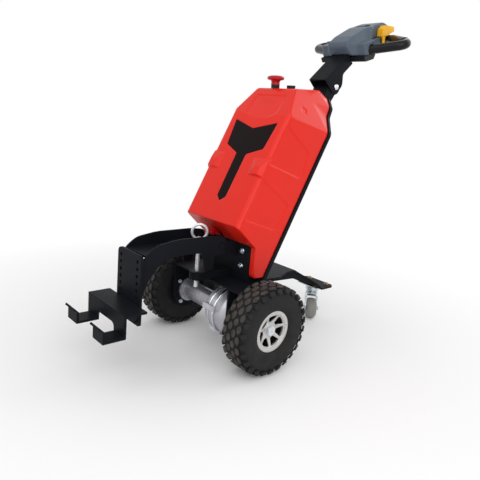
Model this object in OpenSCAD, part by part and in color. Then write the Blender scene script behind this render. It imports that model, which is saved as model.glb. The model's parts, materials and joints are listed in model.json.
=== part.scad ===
/* [Drive wheels] */
// Outer radius of the drive tyre
tyre_r = 132; // [110:1:150]
// Width of the drive tyre
tyre_w = 85; // [70:1:95]
// Half of the track, from the middle of the tug to the middle of a tyre
wheel_x = 213; // [205:1:230]
// Radius of the rim's lip
lip_r = 61.5; // [58:0.5:70]
// Radius of the seat that the tyre's bead sits on
bead_r = 52; // [48:0.5:54]
// Width of the rim over its lips
rim_w = 66; // [58:1:68]
// Number of spokes
spoke_count = 7; // [5:1:7]
// Radius of the wheel's hub
hub_r = 19; // [17:0.5:24]
// Radius of the drive shaft
shaft_r = 10; // [8:0.5:12]
// Rows of tread blocks round the tyre
lug_count = 18; // [14:1:20]
// Height of the tread blocks
lug_h = 4; // [2:0.5:6]

/* [Drive axle] */
// Outer radius of the axle tube
tube_r = 31; // [26:1:34]
// Left end of the axle tube, from the middle
tube_left = 146; // [120:1:150]
// Radius of the tube's end flange
flange_r = 40; // [36:1:44]
// Largest radius of the gear housing
gear_r = 76; // [66:1:84]
// Right face of the gear housing, from the middle
gear_right = 108; // [100:1:112]
// Radius of the drive motor
motor_r = 48; // [40:1:52]
// How far the motor lies behind the axle
motor_y = 90; // [84:1:98]
// Height of the motor's middle
motor_z = 150; // [140:1:156]
// Left end of the motor, from the middle
motor_left = 112; // [90:1:124]

/* [Chassis] */
// Half of the chassis' width
chassis_w = 103; // [96:1:103]
// Thickness of the chassis plates
plate = 4; // [3:0.5:5]
// Height of the base plate's underside
base_z = 222; // [218:1:226]
// Thickness of the base plate
base_t = 6; // [4:0.5:8]
// Front edge of the base plate, ahead of the axle
base_front = 60; // [50:1:66]
// Rear edge of the base plate, behind the axle
base_back = 132; // [120:1:150]
// Front face of the chassis' front plate, behind the axle
front_y = 18; // [14:1:20]
// Top of the front plate
front_top = 344; // [330:1:346]
// Spacing of the front plate's bolts, up the plate
front_bolt_pitch = 47; // [36:1:56]
// Side offset of the front plate's bolts
front_bolt_x = 70; // [60:1:82]

/* [Cover] */
// Lean of the column back from upright
lean = 26.8; // [22:0.1:28]
// Front foot of the column, ahead of the axle
foot_y = 58; // [52:1:62]
// Height of the front foot of the column
foot_z = 407; // [402:1:412]
// Half width of the cover at its front
cover_front_w = 123; // [118:1:126]
// Half width of the cover at its back
cover_back_w = 124; // [120:1:130]
// Depth of the cover
cover_d = 180; // [170:1:190]
// Wall of the cover
wall = 4; // [3:0.5:5]
// Length of the flat front, up to the shoulder
shoulder = 350; // [340:1:360]
// Length of the front up to the top edge
nose_top = 449; // [440:1:456]
// How far the top panel leans back from the front
nose_back = 18; // [12:1:22]
// Length of the back, up to the top edge
back_top = 545; // [536:1:552]
// Fall of the cover's underside along its depth
belly_fall = 0.26; // [0.2:0.01:0.32]
// Lowest point of the cover's two legs
leg_z = 246; // [240:1:254]
// Radius of the cover's front edges
edge_r = 16; // [10:1:22]
// How far the bumps on the front edges stand out
bump_out = 10; // [6:1:14]
// Depth of the panels pressed into the cover
panel_deep = 2.4; // [1:0.1:2.6]
// Depth of the dark front inset
inset_d = 3; // [2:0.5:4]

/* [Tiller] */
// Place of the tiller's hinge behind the axle
hinge_y = 404; // [398:1:410]
// Height of the tiller's hinge
hinge_z = 830; // [824:1:838]
// Radius of the hinge pin
hinge_r = 6; // [5:0.5:8]
// Half width of the neck between the arm's cheeks
neck_w = 30; // [26:1:31]
// Thickness of the arm's cheeks
arm_t = 4; // [3:0.5:5]
// Climb of the arm at rest
arm_climb = 42; // [36:1:46]
// Depth of the arm's channel
arm_d = 38; // [34:1:42]
// Length of the arm past the hinge
arm_len = 108; // [100:1:110]

/* [Tiller head] */
// Place of the front grip bars behind the axle
head_y = 480; // [474:1:488]
// Height of the front grip bars
head_z = 954; // [948:1:960]
// Climb of the head towards the operator
head_climb = 21.5; // [16:0.5:26]
// Half width of the head over its grips
head_w = 190; // [180:1:200]
// Radius of the front bars
bar_r = 15; // [12:0.5:15.5]
// Radius of the rear grips
grip_r = 17; // [15.5:0.5:18]

/* [Hitch] */
// Front face of the hitch plate, ahead of the axle
hitch_y = 320; // [310:1:330]
// Width of the hitch plate
hitch_w = 120; // [112:1:130]
// Top of the hitch plate
hitch_top = 338; // [332:1:344]
// Bottom of the hitch plate
hitch_bottom = 146; // [142:1:152]
// Thickness of the hitch plate
hitch_t = 8; // [6:0.5:10]
// Spacing of the holes up the hitch plate
hole_pitch = 20; // [18:0.5:20]
// Spacing of the two columns of holes
hole_span = 84; // [80:1:86]
// Radius of the holes
hole_r = 5.25; // [4:0.25:6]
// Outer half width of the arm's cheeks
cheek_w = 54; // [53:1:56]
// Thickness of the hitch arm's cheeks
cheek_t = 5; // [4:0.5:5]

/* [Hook] */
// Width of the folded hook
hook_w = 200; // [190:1:210]
// Thickness of the hook's steel
hook_t = 6; // [5:0.5:8]
// Height of the hook's top flange
hook_top = 203; // [198:1:208]
// Underside of the hook's lower flange
hook_bottom = 140; // [136:1:146]
// Reach of the top flange ahead of the hitch plate
hook_reach = 58; // [50:1:64]
// Reach of the lower flange ahead of the front web
hook_tray = 57; // [50:1:64]
// Height of the hook's front lip
lip_h = 34; // [30:1:40]
// Width of the gap between the two prongs
hook_gap = 92; // [80:1:100]

/* [Lock pin] */
// Place of the lock pin ahead of the axle
pin_y = 93; // [88:1:98]
// Radius of the lock pin
pin_r = 6; // [5:0.5:7]
// Lower end of the lock pin
pin_bottom = 203; // [198:1:208]
// Radius of the pull ring, to the middle of its wire
ring_r = 22; // [20:0.5:24]
// Radius of the ring's wire
ring_wire = 4; // [3:0.1:4.4]

/* [Caster] */
// Place of the swivel behind the axle
swivel_y = 464; // [458:1:470]
// Radius of the caster wheel
caster_r = 37.5; // [35:0.5:40]
// Width of the caster wheel
caster_w = 36; // [30:1:38]
// Trail of the caster wheel behind its swivel
trail = 24; // [20:1:28]
// Way that the caster points at rest
caster_turn = 47; // [0:1:180]
// Height of the caster plate's top
pad_top = 131; // [126:1:134]

/* [Hidden] */

$fn = 64;
gap = 0.3;
fit = 0.05;
rubber = [0.09, 0.09, 0.09];
silver = [0.82, 0.83, 0.84];
black = [0.08, 0.08, 0.09];
red = [0.85, 0.1, 0.05];
slate = [0.3, 0.35, 0.41];
yellow = [0.95, 0.72, 0.08];
zinc = [0.72, 0.75, 0.78];

// Unit vector along v
function unit(v) = v / norm(v);

// Closed outline moved inwards by t, for points that run anticlockwise
function inset(pts, t) = [for (i = [0:len(pts) - 1])
    let (a = pts[(i + len(pts) - 1) % len(pts)], b = pts[i], c = pts[(i + 1) % len(pts)],
        u = unit(b - a), v = unit(c - b), nu = [-u.y, u.x], nv = [-v.y, v.x])
    b + (nu + nv) * t / (1 + nu * nv)];

// Arc that rounds corner b, between neighbours a and c, at radius r
function corner(a, b, c, r) =
    let (u = unit(a - b), v = unit(c - b), half = acos(u * v) / 2,
        mid = b + unit(u + v) * r / sin(half), start = b + u * r / tan(half),
        turn = cross(u, v) > 0 ? -1 : 1, sweep = (180 - 2 * half) * turn,
        steps = ceil(abs(sweep) / 12), s = start - mid)
    [for (k = [0:steps]) let (g = sweep * k / steps)
        mid + [s.x * cos(g) - s.y * sin(g), s.x * sin(g) + s.y * cos(g)]];

// Closed outline with its corners rounded, one radius for each point, 0 for a sharp one
function rounded(pts, radii) = [for (i = [0:len(pts) - 1])
    each radii[i] <= 0 ? [pts[i]]
        : corner(pts[(i + len(pts) - 1) % len(pts)], pts[i], pts[(i + 1) % len(pts)], radii[i])];

// Radii after an outline has moved inwards by t
function less(radii, t) = [for (r = radii) r > t ? r - t : 0];

// Corner places of an outline's table, and its radii
function places(table) = [for (p = table) [p[0], p[1]]];
function radii(table) = [for (p = table) p[2]];

// Extrudes an outline drawn in Y and Z along X
module along_x(x0, x1) {
    translate([x0, 0, 0]) rotate([90, 0, 90]) linear_extrude(x1 - x0) children();
}

// Extrudes an outline drawn in X and Z along Y
module along_y(y0, y1) {
    translate([0, y1, 0]) rotate([90, 0, 0]) linear_extrude(y1 - y0) children();
}

// Box from its lowest to its highest corner
module block(a, b) {
    translate(a) cube(b - a);
}

// Round bar along X
module bar_x(x0, x1, y, z, r) {
    translate([x0, y, z]) rotate([0, 90, 0]) cylinder(r = r, h = x1 - x0);
}

// Turned piece about an axis along X, its outline drawn as radius and X
module turned_x(y, z, steps = $fn) {
    translate([0, y, z]) rotate([0, 90, 0]) rotate_extrude($fn = steps) children();
}

// Both sides of a piece that is modelled at positive X
module both_sides() {
    children();
    mirror([1, 0, 0]) children();
}

// Everything past a plane through p with outward direction n
module past_plane(p, n, size) {
    translate(p) rotate([0, -asin(n.z / norm(n)), atan2(n.y, n.x)])
        translate([0, -size / 2, -size / 2]) cube(size);
}

// Moves a piece from the axle's frame to the middle of the overall length
module placed() {
    translate([0, -centre_y, 0]) children();
}

// Frame of the leaning column: Y is depth from its front, Z is along it
module leaned() {
    translate([0, -foot_y, foot_z]) rotate([-lean, 0, 0]) children();
}

// Frame of the cover's top panel: Y runs back from its front edge, Z is square to it
top_rise = atan2(back_top - nose_top, cover_d - nose_back);
module topped() {
    leaned() translate([0, nose_back, nose_top]) rotate([top_rise, 0, 0]) children();
}

// Overall length, from the hook's flare to the rear bar of the handle
hook_flare = 11;
flare_edge = 4.2;
handle_back = 167;
front_end = -hitch_y - hook_reach - hook_tray - hook_flare - flare_edge;
rear_end = head_y + handle_back * cos(head_climb) + bar_r;
centre_y = round((front_end + rear_end) / 2);

// Wheels
rim_lip = 5;
bead_w = rim_w - 2 * rim_lip;
carcass_r = tyre_r - lug_h;

tyre_low = lip_r + 0.5;
shoulder_x = tyre_w / 2 - 9;

// Half outline of the carcass, from the bead to the tread: radius and X
carcass = [[tyre_low, 34], [tyre_low + 8, 41], [tyre_low + 34, tyre_w / 2], [carcass_r - 16, 41],
    [carcass_r - 5, shoulder_x], [carcass_r, shoulder_x - 10]];
module tyre_section() {
    n = len(carcass) - 1;
    polygon([for (p = carcass) p, for (k = [n:-1:0]) [carcass[k].x, -carcass[k].y]]);
    translate([bead_r + gap, -bead_w / 2 + gap]) square([lip_r - bead_r + 6, bead_w - 2 * gap]);
}

// Tread block outlines in X and height, with their turn from the first row in pitches
lug_tread = 22;
lug_top = sqrt(tyre_r * tyre_r - lug_tread * lug_tread / 4);
middle_lug = [[-9, carcass_r - 4], [9, carcass_r - 4], [8, lug_top], [-8, lug_top]];
side_lug = [[14, carcass_r - 4], [34, carcass_r - 12], [38, carcass_r - 20], [41.5, carcass_r - 17],
    [40, carcass_r - 7], [30, lug_top], [15, lug_top]];
lug_rows = [[middle_lug, 0, 0], [side_lug, 0, 0.5], [side_lug, 1, 0.5]];
wheel_steps = 40;
module tyre() {
    pitch = 360 / lug_count;
    start = asin(lug_tread / 2 / tyre_r);
    color(rubber) placed() translate([0, 0, tyre_r]) union() {
        rotate([0, 90, 0]) rotate_extrude($fn = wheel_steps) tyre_section();
        for (row = lug_rows)
            for (k = [0:lug_count - 1])
                rotate([pitch * (k + row[2]) + start, 0, 0]) mirror([row[1], 0, 0])
                    along_y(-lug_tread / 2, lug_tread / 2) polygon(row[0]);
    }
}

module rim_section() {
    half = rim_w / 2;
    barrel_t = 4;
    translate([bead_r - barrel_t, -half]) square([barrel_t, rim_w]);
    for (x = [-half, half - rim_lip])
        translate([bead_r - barrel_t, x]) square([lip_r - bead_r + barrel_t, rim_lip]);
}

// Dished outline of the wheel's face
module dish_section() {
    half = rim_w / 2;
    polygon([[0, half - 26], [hub_r, half - 26], [bead_r - 2, half - 16], [bead_r - 2, half - 3],
        [bead_r - 8, half - 3], [hub_r + 4, half - 14], [0, half - 14]]);
}

// Window between two spokes: side place, radius and corner radius
window = [[-7, hub_r + 7, 0], [7, hub_r + 7, 0], [13.5, bead_r - 14.5, 5], [0, bead_r - 11, 0],
    [-13.5, bead_r - 14.5, 5]];

// Wheel whose outer face looks along X
module rim() {
    half = rim_w / 2;
    color(silver) placed() translate([0, 0, tyre_r]) difference() {
        union() {
            rotate([0, 90, 0]) rotate_extrude() rim_section();
            difference() {
                rotate([0, 90, 0]) rotate_extrude() dish_section();
                for (k = [0:spoke_count - 1])
                    rotate([360 / spoke_count * k, 0, 0])
                        along_x(-rim_w, rim_w) polygon(rounded(places(window), radii(window)));
            }
            translate([-half + 3, 0, 0]) rotate([0, 90, 0]) cylinder(r = hub_r, h = rim_w - 17);
        }
        translate([-half, 0, 0]) rotate([0, 90, 0]) cylinder(r = shaft_r + fit, h = rim_w);
    }
}

module left_tyre() translate([-wheel_x, 0, 0]) tyre();
module right_tyre() translate([wheel_x, 0, 0]) tyre();
module left_rim() translate([-wheel_x, 0, 0]) mirror([1, 0, 0]) rim();
module right_rim() translate([wheel_x, 0, 0]) rim();

// Drive shaft with its outer nut, from an inner end to the wheel
shaft_seat = 30;
module shaft(inner) {
    end = wheel_x + rim_w / 2 - 12;
    color(zinc) placed() {
        bar_x(inner, end, 0, tyre_r, shaft_r);
        translate([end - 2 + gap, 0, tyre_r]) rotate([0, 90, 0]) cylinder(r = shaft_r + 5, h = 8, $fn = 6);
    }
}
module left_shaft() mirror([1, 0, 0]) shaft(tube_left - shaft_seat);
module right_shaft() shaft(gear_right - shaft_seat);

// Drive axle
bore_r = shaft_r + fit;
flange_t = 8;

module axle_tube() {
    color(zinc) placed() difference() {
        union() {
            bar_x(-tube_left, 0, 0, tyre_r, tube_r);
            bar_x(-tube_left - flange_t, -tube_left, 0, tyre_r, flange_r);
        }
        bar_x(-tube_left - flange_t, -tube_left + shaft_seat, 0, tyre_r, bore_r);
    }
}

// Place where the motor meets the gear housing
motor_right = 10;

// Outline of the gear housing, as radius and X
module gear_section() {
    polygon([[0, 0], [tube_r + 4, 0], [tube_r + 6, 10], [gear_r - 16, 22], [gear_r - 4, 50],
        [gear_r - 4, 60], [gear_r + 2, 60], [gear_r + 2, 68], [gear_r - 4, 68], [gear_r - 6, 92],
        [gear_r - 22, gear_right], [0, gear_right]]);
}

module gear_housing() {
    rib_t = 4;
    color(zinc) placed() difference() {
        union() {
            turned_x(0, tyre_r) gear_section();
            for (a = [22.5:45:337.5])
                translate([0, 0, tyre_r]) rotate([a, 0, 0])
                    along_x_rib(rib_t);
            for (a = [0:45:315])
                translate([56, 0, tyre_r]) rotate([a, 0, 0]) translate([0, 0, gear_r])
                    rotate([0, 90, 0]) cylinder(r = 6, h = 16);
            bar_x(motor_right, gear_right - 8, motor_y, motor_z, motor_r + 4);
            block([motor_right + 14, 10, motor_z - 30], [gear_right - 14, motor_y, motor_z + 36]);
        }
        bar_x(gear_right - shaft_seat, gear_right, 0, tyre_r, bore_r);
    }
}

// Stiffening rib that runs up the housing's bell
module along_x_rib(t) {
    rotate([90, 0, 0]) translate([0, 0, -t / 2]) linear_extrude(t)
        polygon([[motor_right, 20], [motor_right, tube_r + 9], [26, gear_r - 8], [50, gear_r], [60, gear_r + 1],
            [60, 20]]);
}

module drive_motor() {
    color(black) placed() {
        bar_x(-motor_left, motor_right - gap, motor_y, motor_z, motor_r);
        bar_x(-motor_left - 10, -motor_left, motor_y, motor_z, motor_r - 14);
    }
}

// Hanger plate from the base plate down to the axle, at one X
hang_r = 60;
module hanger(x0, x1) {
    difference() {
        union() {
            block([x0, -hang_r, tyre_r], [x1, hang_r, base_z - gap]);
            bar_x(x0, x1, 0, tyre_r, hang_r);
        }
        bar_x(x0 - 1, x1 + 1, 0, tyre_r, shaft_r + 4);
    }
}
hang_t = 6;
left_hang_x = tube_left + flange_t + gap;
right_hang_x = gear_right + gap;

module left_hanger() color(black) placed() hanger(-left_hang_x - hang_t, -left_hang_x);
module right_hanger() color(black) placed() hanger(right_hang_x, right_hang_x + hang_t);

// Chassis
base_top = base_z + base_t;
module base_plate() {
    ear = left_hang_x + hang_t;
    color(black) placed() union() {
        block([-chassis_w, -base_front, base_z], [chassis_w, base_back, base_top]);
        block([-ear, -hang_r, base_z], [ear, hang_r, base_top]);
    }
}

module front_plate() {
    color(black) placed() difference() {
        block([-chassis_w, front_y, base_top], [chassis_w, front_y + plate, front_top]);
        for (x = [-1, 1])
            for (k = [0, 1])
                translate([x * front_bolt_x, front_y - 1, front_top - 24 - k * front_bolt_pitch])
                    rotate([-90, 0, 0]) cylinder(r = 4.3, h = plate + 2);
    }
}

module side_plates() {
    color(black) placed() both_sides() difference() {
        along_x(chassis_w - plate, chassis_w)
            polygon([[front_y + plate, base_top], [base_back, base_top], [base_back + 60, front_top],
                [front_y + plate, front_top]]);
        behind_column();
    }
}

// Space behind the cover's back edge
module behind_column() {
    leaned() block([-400, cover_d, -400], [400, cover_d + 400, 900]);
}

back_t = 12;
skin = 3;
plate_edge = 4;
plate_top = back_top - 18;

// Right half of the cover's outline seen along its depth: side place, place along the column, radius
arch = [[cover_back_w, back_top - 147, 34], [90, back_top - 93, 26], [85, back_top - 59, 20],
    [62, back_top - 31, 30]];
arch_low = [[-cover_back_w, -200, 0], [cover_back_w, -200, 0]];
arch_whole = [each arch_low, each arch, [0, back_top + 2, 0],
    for (k = [len(arch) - 1:-1:0]) [-arch[k].x, arch[k].y, arch[k].z]];

module arch_form(t) {
    polygon(rounded(inset(places(arch_whole), t), radii(arch_whole)));
}

module back_plate() {
    color(black) placed() difference() {
        leaned() difference() {
            along_y(cover_d, cover_d + back_t) arch_form(-plate_edge);
            along_y(cover_d + skin, cover_d + back_t + 1) intersection() {
                arch_form(skin - plate_edge);
                translate([-200, -300]) square([400, 300 + plate_top - skin]);
            }
            block([-200, cover_d - 1, plate_top], [200, cover_d + back_t + 2, back_top + 60]);
        }
        block([-300, -200, -100], [300, 400, base_top]);
    }
}

module battery() {
    color(black) placed() leaned() block([-84, cover_d - 132, 30], [84, cover_d, 300]);
}

// Cover
cover_side_r = [3, 0, 20, 14, 30];
nose_w = 82;
top_slope = (back_top - nose_top) / (cover_d - nose_back);

// Side outline of the cover down to depth b
function side_pts(b) = [[0, 0], [b, -belly_fall * b], [b, nose_top + (b - nose_back) * top_slope],
    [nose_back, nose_top], [0, shoulder]];

// Outer form of the cover, moved inwards by t and open at the back where t is above 0
module cover_form(t) {
    b = t > 0 ? cover_d + t + 1 : cover_d;
    difference() {
        intersection() {
            along_x(-200, 200) polygon(rounded(inset(side_pts(b), t), cover_side_r));
            cover_plan_prism(t, b);
            along_y(-60, b + 60) arch_form(t);
        }
        both_sides() past_plane(side_front - side_out * t, side_out, 500);
    }
}

module cover_plan_prism(t, b) {
    translate([0, 0, -300]) linear_extrude(1000)
        polygon(rounded(inset([[-cover_front_w, 0], [cover_front_w, 0], [cover_back_w, b],
            [-cover_back_w, b]], t), less([edge_r, edge_r, 0, 0], t)));
}

// Slanting plane that narrows the cover towards its nose: a point on it and its outward direction
side_front = [cover_front_w, 0, shoulder];
side_out = unit(cross([cover_back_w, 170, back_top - 149] - side_front,
    [nose_w, nose_back, nose_top] - side_front));

// Bump on the front edge, drawn in depth and along the column, then in plan
bump_low = 157;
module edge_bump() {
    x1 = cover_front_w;
    intersection() {
        along_x(50, x1) polygon(rounded([[-bump_out, bump_low + 2], [8, bump_low - 1], [8, bump_low + 60],
            [0, bump_low + 56], [-bump_out, bump_low + 26]], [3, 0, 0, 12, 16]));
        translate([0, 0, bump_low - 20]) linear_extrude(120)
            polygon(rounded([[x1 - 65, 3], [x1 - 36, -bump_out], [x1 - 12, -bump_out], [x1, 4], [x1, 24],
                [x1 - 65, 24]], [0, 10, 8, 8, 0, 0]));
    }
}

// Panels pressed into the sides: depth, place along the column and corner radius
side_panels = [[[8, 201, 3], [139, 223, 8], [156, 237, 8], [136, 307, 8], [8, 328, 6]],
    [[12, 29, 6], [132, 48, 8], [148, 59, 8], [151, 137, 8], [10, 157, 3]]];
module side_recess(table) {
    translate([cover_front_w, 0, 0]) rotate([0, 0, atan2(cover_front_w - cover_back_w, cover_d)])
        along_x(-panel_deep, 30) polygon(rounded(places(table), radii(table)));
}

// Small square window pressed into the slanting side
window_d = 60;
window_s = 404;
module square_recess() {
    x = side_front.x - (side_out.y * (window_d - side_front.y) + side_out.z * (window_s - side_front.z))
        / side_out.x;
    translate([x, window_d, window_s]) rotate([0, -asin(side_out.z), atan2(side_out.y, side_out.x)])
        block([-panel_deep, -11, -9], [10, 11, 9]);
}

// Panel pressed into the nose: side place, place up from the shoulder, corner radius
nose_panel = [[-28, -12, 10], [28, -12, 10], [64, 4, 12], [66, 74, 8], [-66, 74, 8], [-64, 4, 12]];
module nose_recess() {
    translate([0, 0, shoulder]) rotate([-atan2(nose_back, nose_top - shoulder), 0, 0])
        along_y(-30, panel_deep) polygon(rounded(places(nose_panel), radii(nose_panel)));
}

leg_in = chassis_w + gap;
module cover_legs(t) {
    intersection() {
        both_sides() along_x(leg_in + t, 200) polygon(rounded(inset([[front_y + 2, leg_z], [200, leg_z],
            [200, 400], [front_y + 2, 400]], t), [12, 0, 0, 0]));
        leaned() intersection() {
            cover_plan_prism(t, cover_d + (t > 0 ? t + 1 : 0));
            block([-200, -50, -200], [200, cover_d + (t > 0 ? 9 : 0), 200]);
        }
    }
}

// Dark funnel on the front: side place, place along the column, corner radius
funnel = [[-19, 77, 4], [0, 61, 3], [19, 77, 4], [21, 217, 8], [80, 241, 4], [90, 327, 2], [0, 302, 2],
    [-90, 327, 2], [-80, 241, 4], [-21, 217, 8]];

module cover() {
    color(red) placed() difference() {
        union() {
            leaned() {
                cover_form(0);
                both_sides() edge_bump();
            }
            cover_legs(0);
        }
        leaned() {
            cover_form(wall);
            both_sides() {
                for (table = side_panels) side_recess(table);
                square_recess();
            }
            nose_recess();
        }
        cover_legs(wall);
        block([-leg_in, front_y - gap, 150], [leg_in, 400, front_top + 8]);
        leaned() along_y(-1, inset_d) polygon(rounded(places(funnel), radii(funnel)));
        block([lever_x - lever_w - 4, -22, 300], [lever_x + lever_w + 4, front_y + plate + 4, 420]);
    }
}

module front_inset() {
    color(black) placed() leaned() along_y(inset_d - 2, inset_d)
        polygon(rounded(inset(places(funnel), gap), less(radii(funnel), gap)));
}

// Emergency stop and charging socket's cap on the cover's top: side place and place back
stop_place = [-18, 13];
cap_place = [36, 26];
stop_neck = 10;
module stop_collar() {
    color(black) placed() topped() translate([stop_place.x, stop_place.y, gap])
        cylinder(r = 13, h = stop_neck);
}

module stop_button() {
    color(red) placed() topped() translate([stop_place.x, stop_place.y, stop_neck + 2 * gap])
        rotate_extrude() polygon([[0, 0], [14, 0], [12.5, 7], [15, 12], [24, 14], [26, 17], [26, 20],
            [23, 24], [15, 26.5], [0, 27.5]]);
}

module charge_cap() {
    color(black) placed() topped() translate([cap_place.x, cap_place.y, gap])
        cylinder(r = 13, h = 9);
}

// Release lever on the front plate, out through a slot in the cover's underside: its side outline
// as depth, height and corner radius
lever_x = -20;
lever_w = 5;
lever_side = [[-37, front_top + 16, 5], [-33, front_top + 7, 5], [front_y, front_top + 28, 0],
    [front_y, front_top + gap, 0], [front_y + plate, front_top + gap, 0], [front_y + plate, front_top + 44, 4],
    [front_y - 6, front_top + 42, 6]];
module release_lever() {
    color(red) placed() along_x(lever_x - lever_w, lever_x + lever_w)
        polygon(rounded(places(lever_side), radii(lever_side)));
}

// Tiller
neck_side = [[-72, -92], [-24, -66], [12, -12], [0, 16], [-30, 0], [-58, -32]];
neck_hub = 25;
foot_top = plate_top - skin - 1;
module neck() {
    color(black) placed() difference() {
        union() {
            translate([0, hinge_y, hinge_z]) {
                along_x(-neck_w, neck_w) polygon(neck_side);
                bar_x(-neck_w, neck_w, 0, 0, neck_hub);
            }
            leaned() block([-neck_w - 4, cover_d + skin + gap, foot_top - 56],
                [neck_w + 4, cover_d + back_t + 8, foot_top]);
        }
        leaned() block([-neck_w - 10, cover_d, foot_top], [neck_w + 10, cover_d + back_t + gap, back_top + 60]);
        leaned() block([-neck_w - 10, cover_d - 60, 300], [neck_w + 10, cover_d + skin + gap, back_top + 60]);
        bar_x(-neck_w - 1, neck_w + 1, hinge_y, hinge_z, hinge_r + fit);
    }
}

module hinge_pin() {
    half = neck_w + gap + arm_t;
    color(zinc) placed() {
        bar_x(-half, half, hinge_y, hinge_z, hinge_r);
        both_sides() translate([half, hinge_y, hinge_z]) rotate([0, 90, 0])
            cylinder(r = hinge_r + 4, h = 5, $fn = 6);
    }
}

// Frame of the arm: the origin is the hinge, Y runs up the arm, Z is square to it
module armed() {
    translate([0, hinge_y, hinge_z]) rotate([arm_climb, 0, 0]) children();
}
arm_front = 52;
arm_start = -34;
module tiller_arm() {
    cheek_pts = [[arm_start, arm_front], [-25, -6], [-8, -19], [28, -16], [50, arm_front - arm_d],
        [arm_len, arm_front - arm_d], [arm_len, arm_front]];
    inner = neck_w + gap;
    color(black) placed() armed() difference() {
        union() {
            both_sides() along_x(inner, inner + arm_t)
                polygon(rounded(cheek_pts, [2, 8, 10, 24, 14, 0, 0]));
            block([-inner, arm_start, arm_front - arm_t], [inner, arm_len, arm_front]);
        }
        bar_x(-60, 60, 0, 0, hinge_r + fit);
    }
}

// Frame of the tiller head: Y runs towards the operator, Z is square to the grips
module headed() {
    translate([0, head_y, head_z]) rotate([head_climb, 0, 0]) children();
}

// Side outline of the head's housing: place, height and corner radius
shell_side = [[-50, 26, 10], [-38, -4, 14], [-20, -12, 4], [30, -12, 10], [44, 2, 8], [120, 4, 20],
    [186, 14, 8], [196, 38, 10], [156, 60, 40], [60, 60, 60], [-10, 50, 40], [-46, 38, 8]];
// Plan outline of the housing: side place, place and corner radius
shell_plan = [[-34, -52, 12], [34, -52, 12], [60, -24, 16], [92, -20, 10], [92, 28, 10], [60, 48, 16],
    [43.5, 98, 10], [42, 196, 14], [-42, 196, 14], [-43.5, 98, 10], [-60, 48, 16], [-92, 28, 10],
    [-92, -20, 10], [-60, -24, 16]];
// Side outline of the clamp under the housing: place, height and corner radius
clamp_side = [[-30, -12.3, 0], [-26, -30, 6], [20, -32, 8], [30, -22, 6], [34, -12.3, 0]];

module head_shell() {
    color(slate) placed() headed() difference() {
        intersection() {
            along_x(-100, 100) polygon(rounded(places(shell_side), radii(shell_side)));
            translate([0, 0, -60]) linear_extrude(200)
                polygon(rounded(places(shell_plan), radii(shell_plan)));
        }
        handle(bar_r + gap);
        arm_room();
    }
}

// Room that the end of the arm needs in the head's pieces
module arm_room() {
    side = neck_w + 2 * gap + arm_t;
    rotate([-head_climb, 0, 0]) translate([0, -head_y, -head_z])
        armed() block([-side, arm_start, -20], [side, arm_len + gap, arm_front + gap]);
}

module head_clamp() {
    color(black) placed() headed() difference() {
        along_x(-90, 90) polygon(rounded(places(clamp_side), radii(clamp_side)));
        handle(bar_r + gap);
        arm_room();
    }
}

// Corners of the closed handle in the plane of the head: side place, place and bend radius
loop = [[-70, 2, 60], [70, 2, 60], [head_w + 8, 70, 24], [56, handle_back, 40], [-56, handle_back, 40],
    [-head_w - 8, 70, 24]];

// Closed ring of round bar, bent along a table of corners in the X Y plane
module bent_ring(table, r) {
    n = len(table);
    swell = 0.15;
    function at(i) = [table[i % n][0], table[i % n][1]];
    function back(i) = unit(at(i + n - 1) - at(i));
    function ahead(i) = unit(at(i + 1) - at(i));
    function half(i) = acos(back(i) * ahead(i)) / 2;
    function reach(i) = table[i % n][2] / tan(half(i));
    for (i = [0:n - 1]) {
        u = ahead(i);
        p = at(i) + u * (reach(i) - 1);
        q = at(i + 1) - u * (reach(i + 1) - 1);
        translate([p.x, p.y, 0]) rotate([0, 90, atan2(u.y, u.x)]) cylinder(r = r, h = norm(q - p));
    }
    for (i = [0:n - 1]) {
        bend = table[i][2];
        mid = at(i) + unit(back(i) + ahead(i)) * bend / sin(half(i));
        start = at(i) + back(i) * reach(i) - mid;
        translate([mid.x, mid.y, 0]) rotate([0, 0, atan2(start.y, start.x)])
            rotate_extrude(angle = 180 - 2 * half(i)) translate([bend, 0]) circle(r = r + swell);
    }
}

module handle(r) {
    bent_ring(loop, r);
}

module handle_bars() {
    color(black) placed() headed() union() {
        handle(bar_r);
        both_sides() grip();
    }
}

// Thicker sleeve on the straight rear part of the handle
module grip() {
    a = [loop[2][0], loop[2][1]];
    b = [loop[3][0], loop[3][1]];
    u = unit(b - a);
    start = a + u * 46;
    translate([start.x, start.y, 0]) rotate([0, 90, atan2(u.y, u.x)]) cylinder(r = grip_r, h = 96);
}

module thumb_levers() {
    color(yellow) placed() headed() both_sides() along_x(44 + gap, 68)
        polygon(rounded([[110, 20], [128, 18], [150, 16], [160, 20], [190, 22], [192, 38], [176, 42],
            [140, 52], [118, 44]], [2, 4, 4, 4, 4, 6, 6, 8, 4]));
}

// Hitch
hitch_back = -hitch_y + hitch_t;
hole_top = hitch_top - 19;
hole_count = 8;
module hole_grid(r, y0, y1, rows) {
    for (x = [-1, 1])
        for (k = rows)
            translate([x * hole_span / 2, y0, hole_top - k * hole_pitch])
                rotate([-90, 0, 0]) cylinder(r = r, h = y1 - y0, $fn = 24);
}

module hitch_plate() {
    color(black) placed() difference() {
        along_y(-hitch_y, hitch_back)
            polygon(rounded([[-hitch_w / 2, hitch_bottom], [hitch_w / 2, hitch_bottom],
                [hitch_w / 2, hitch_top], [-hitch_w / 2, hitch_top]], [4, 4, 14, 14]));
        hole_grid(hole_r, -hitch_y - 1, hitch_back + 1, [0:hole_count - 1]);
    }
}

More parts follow.
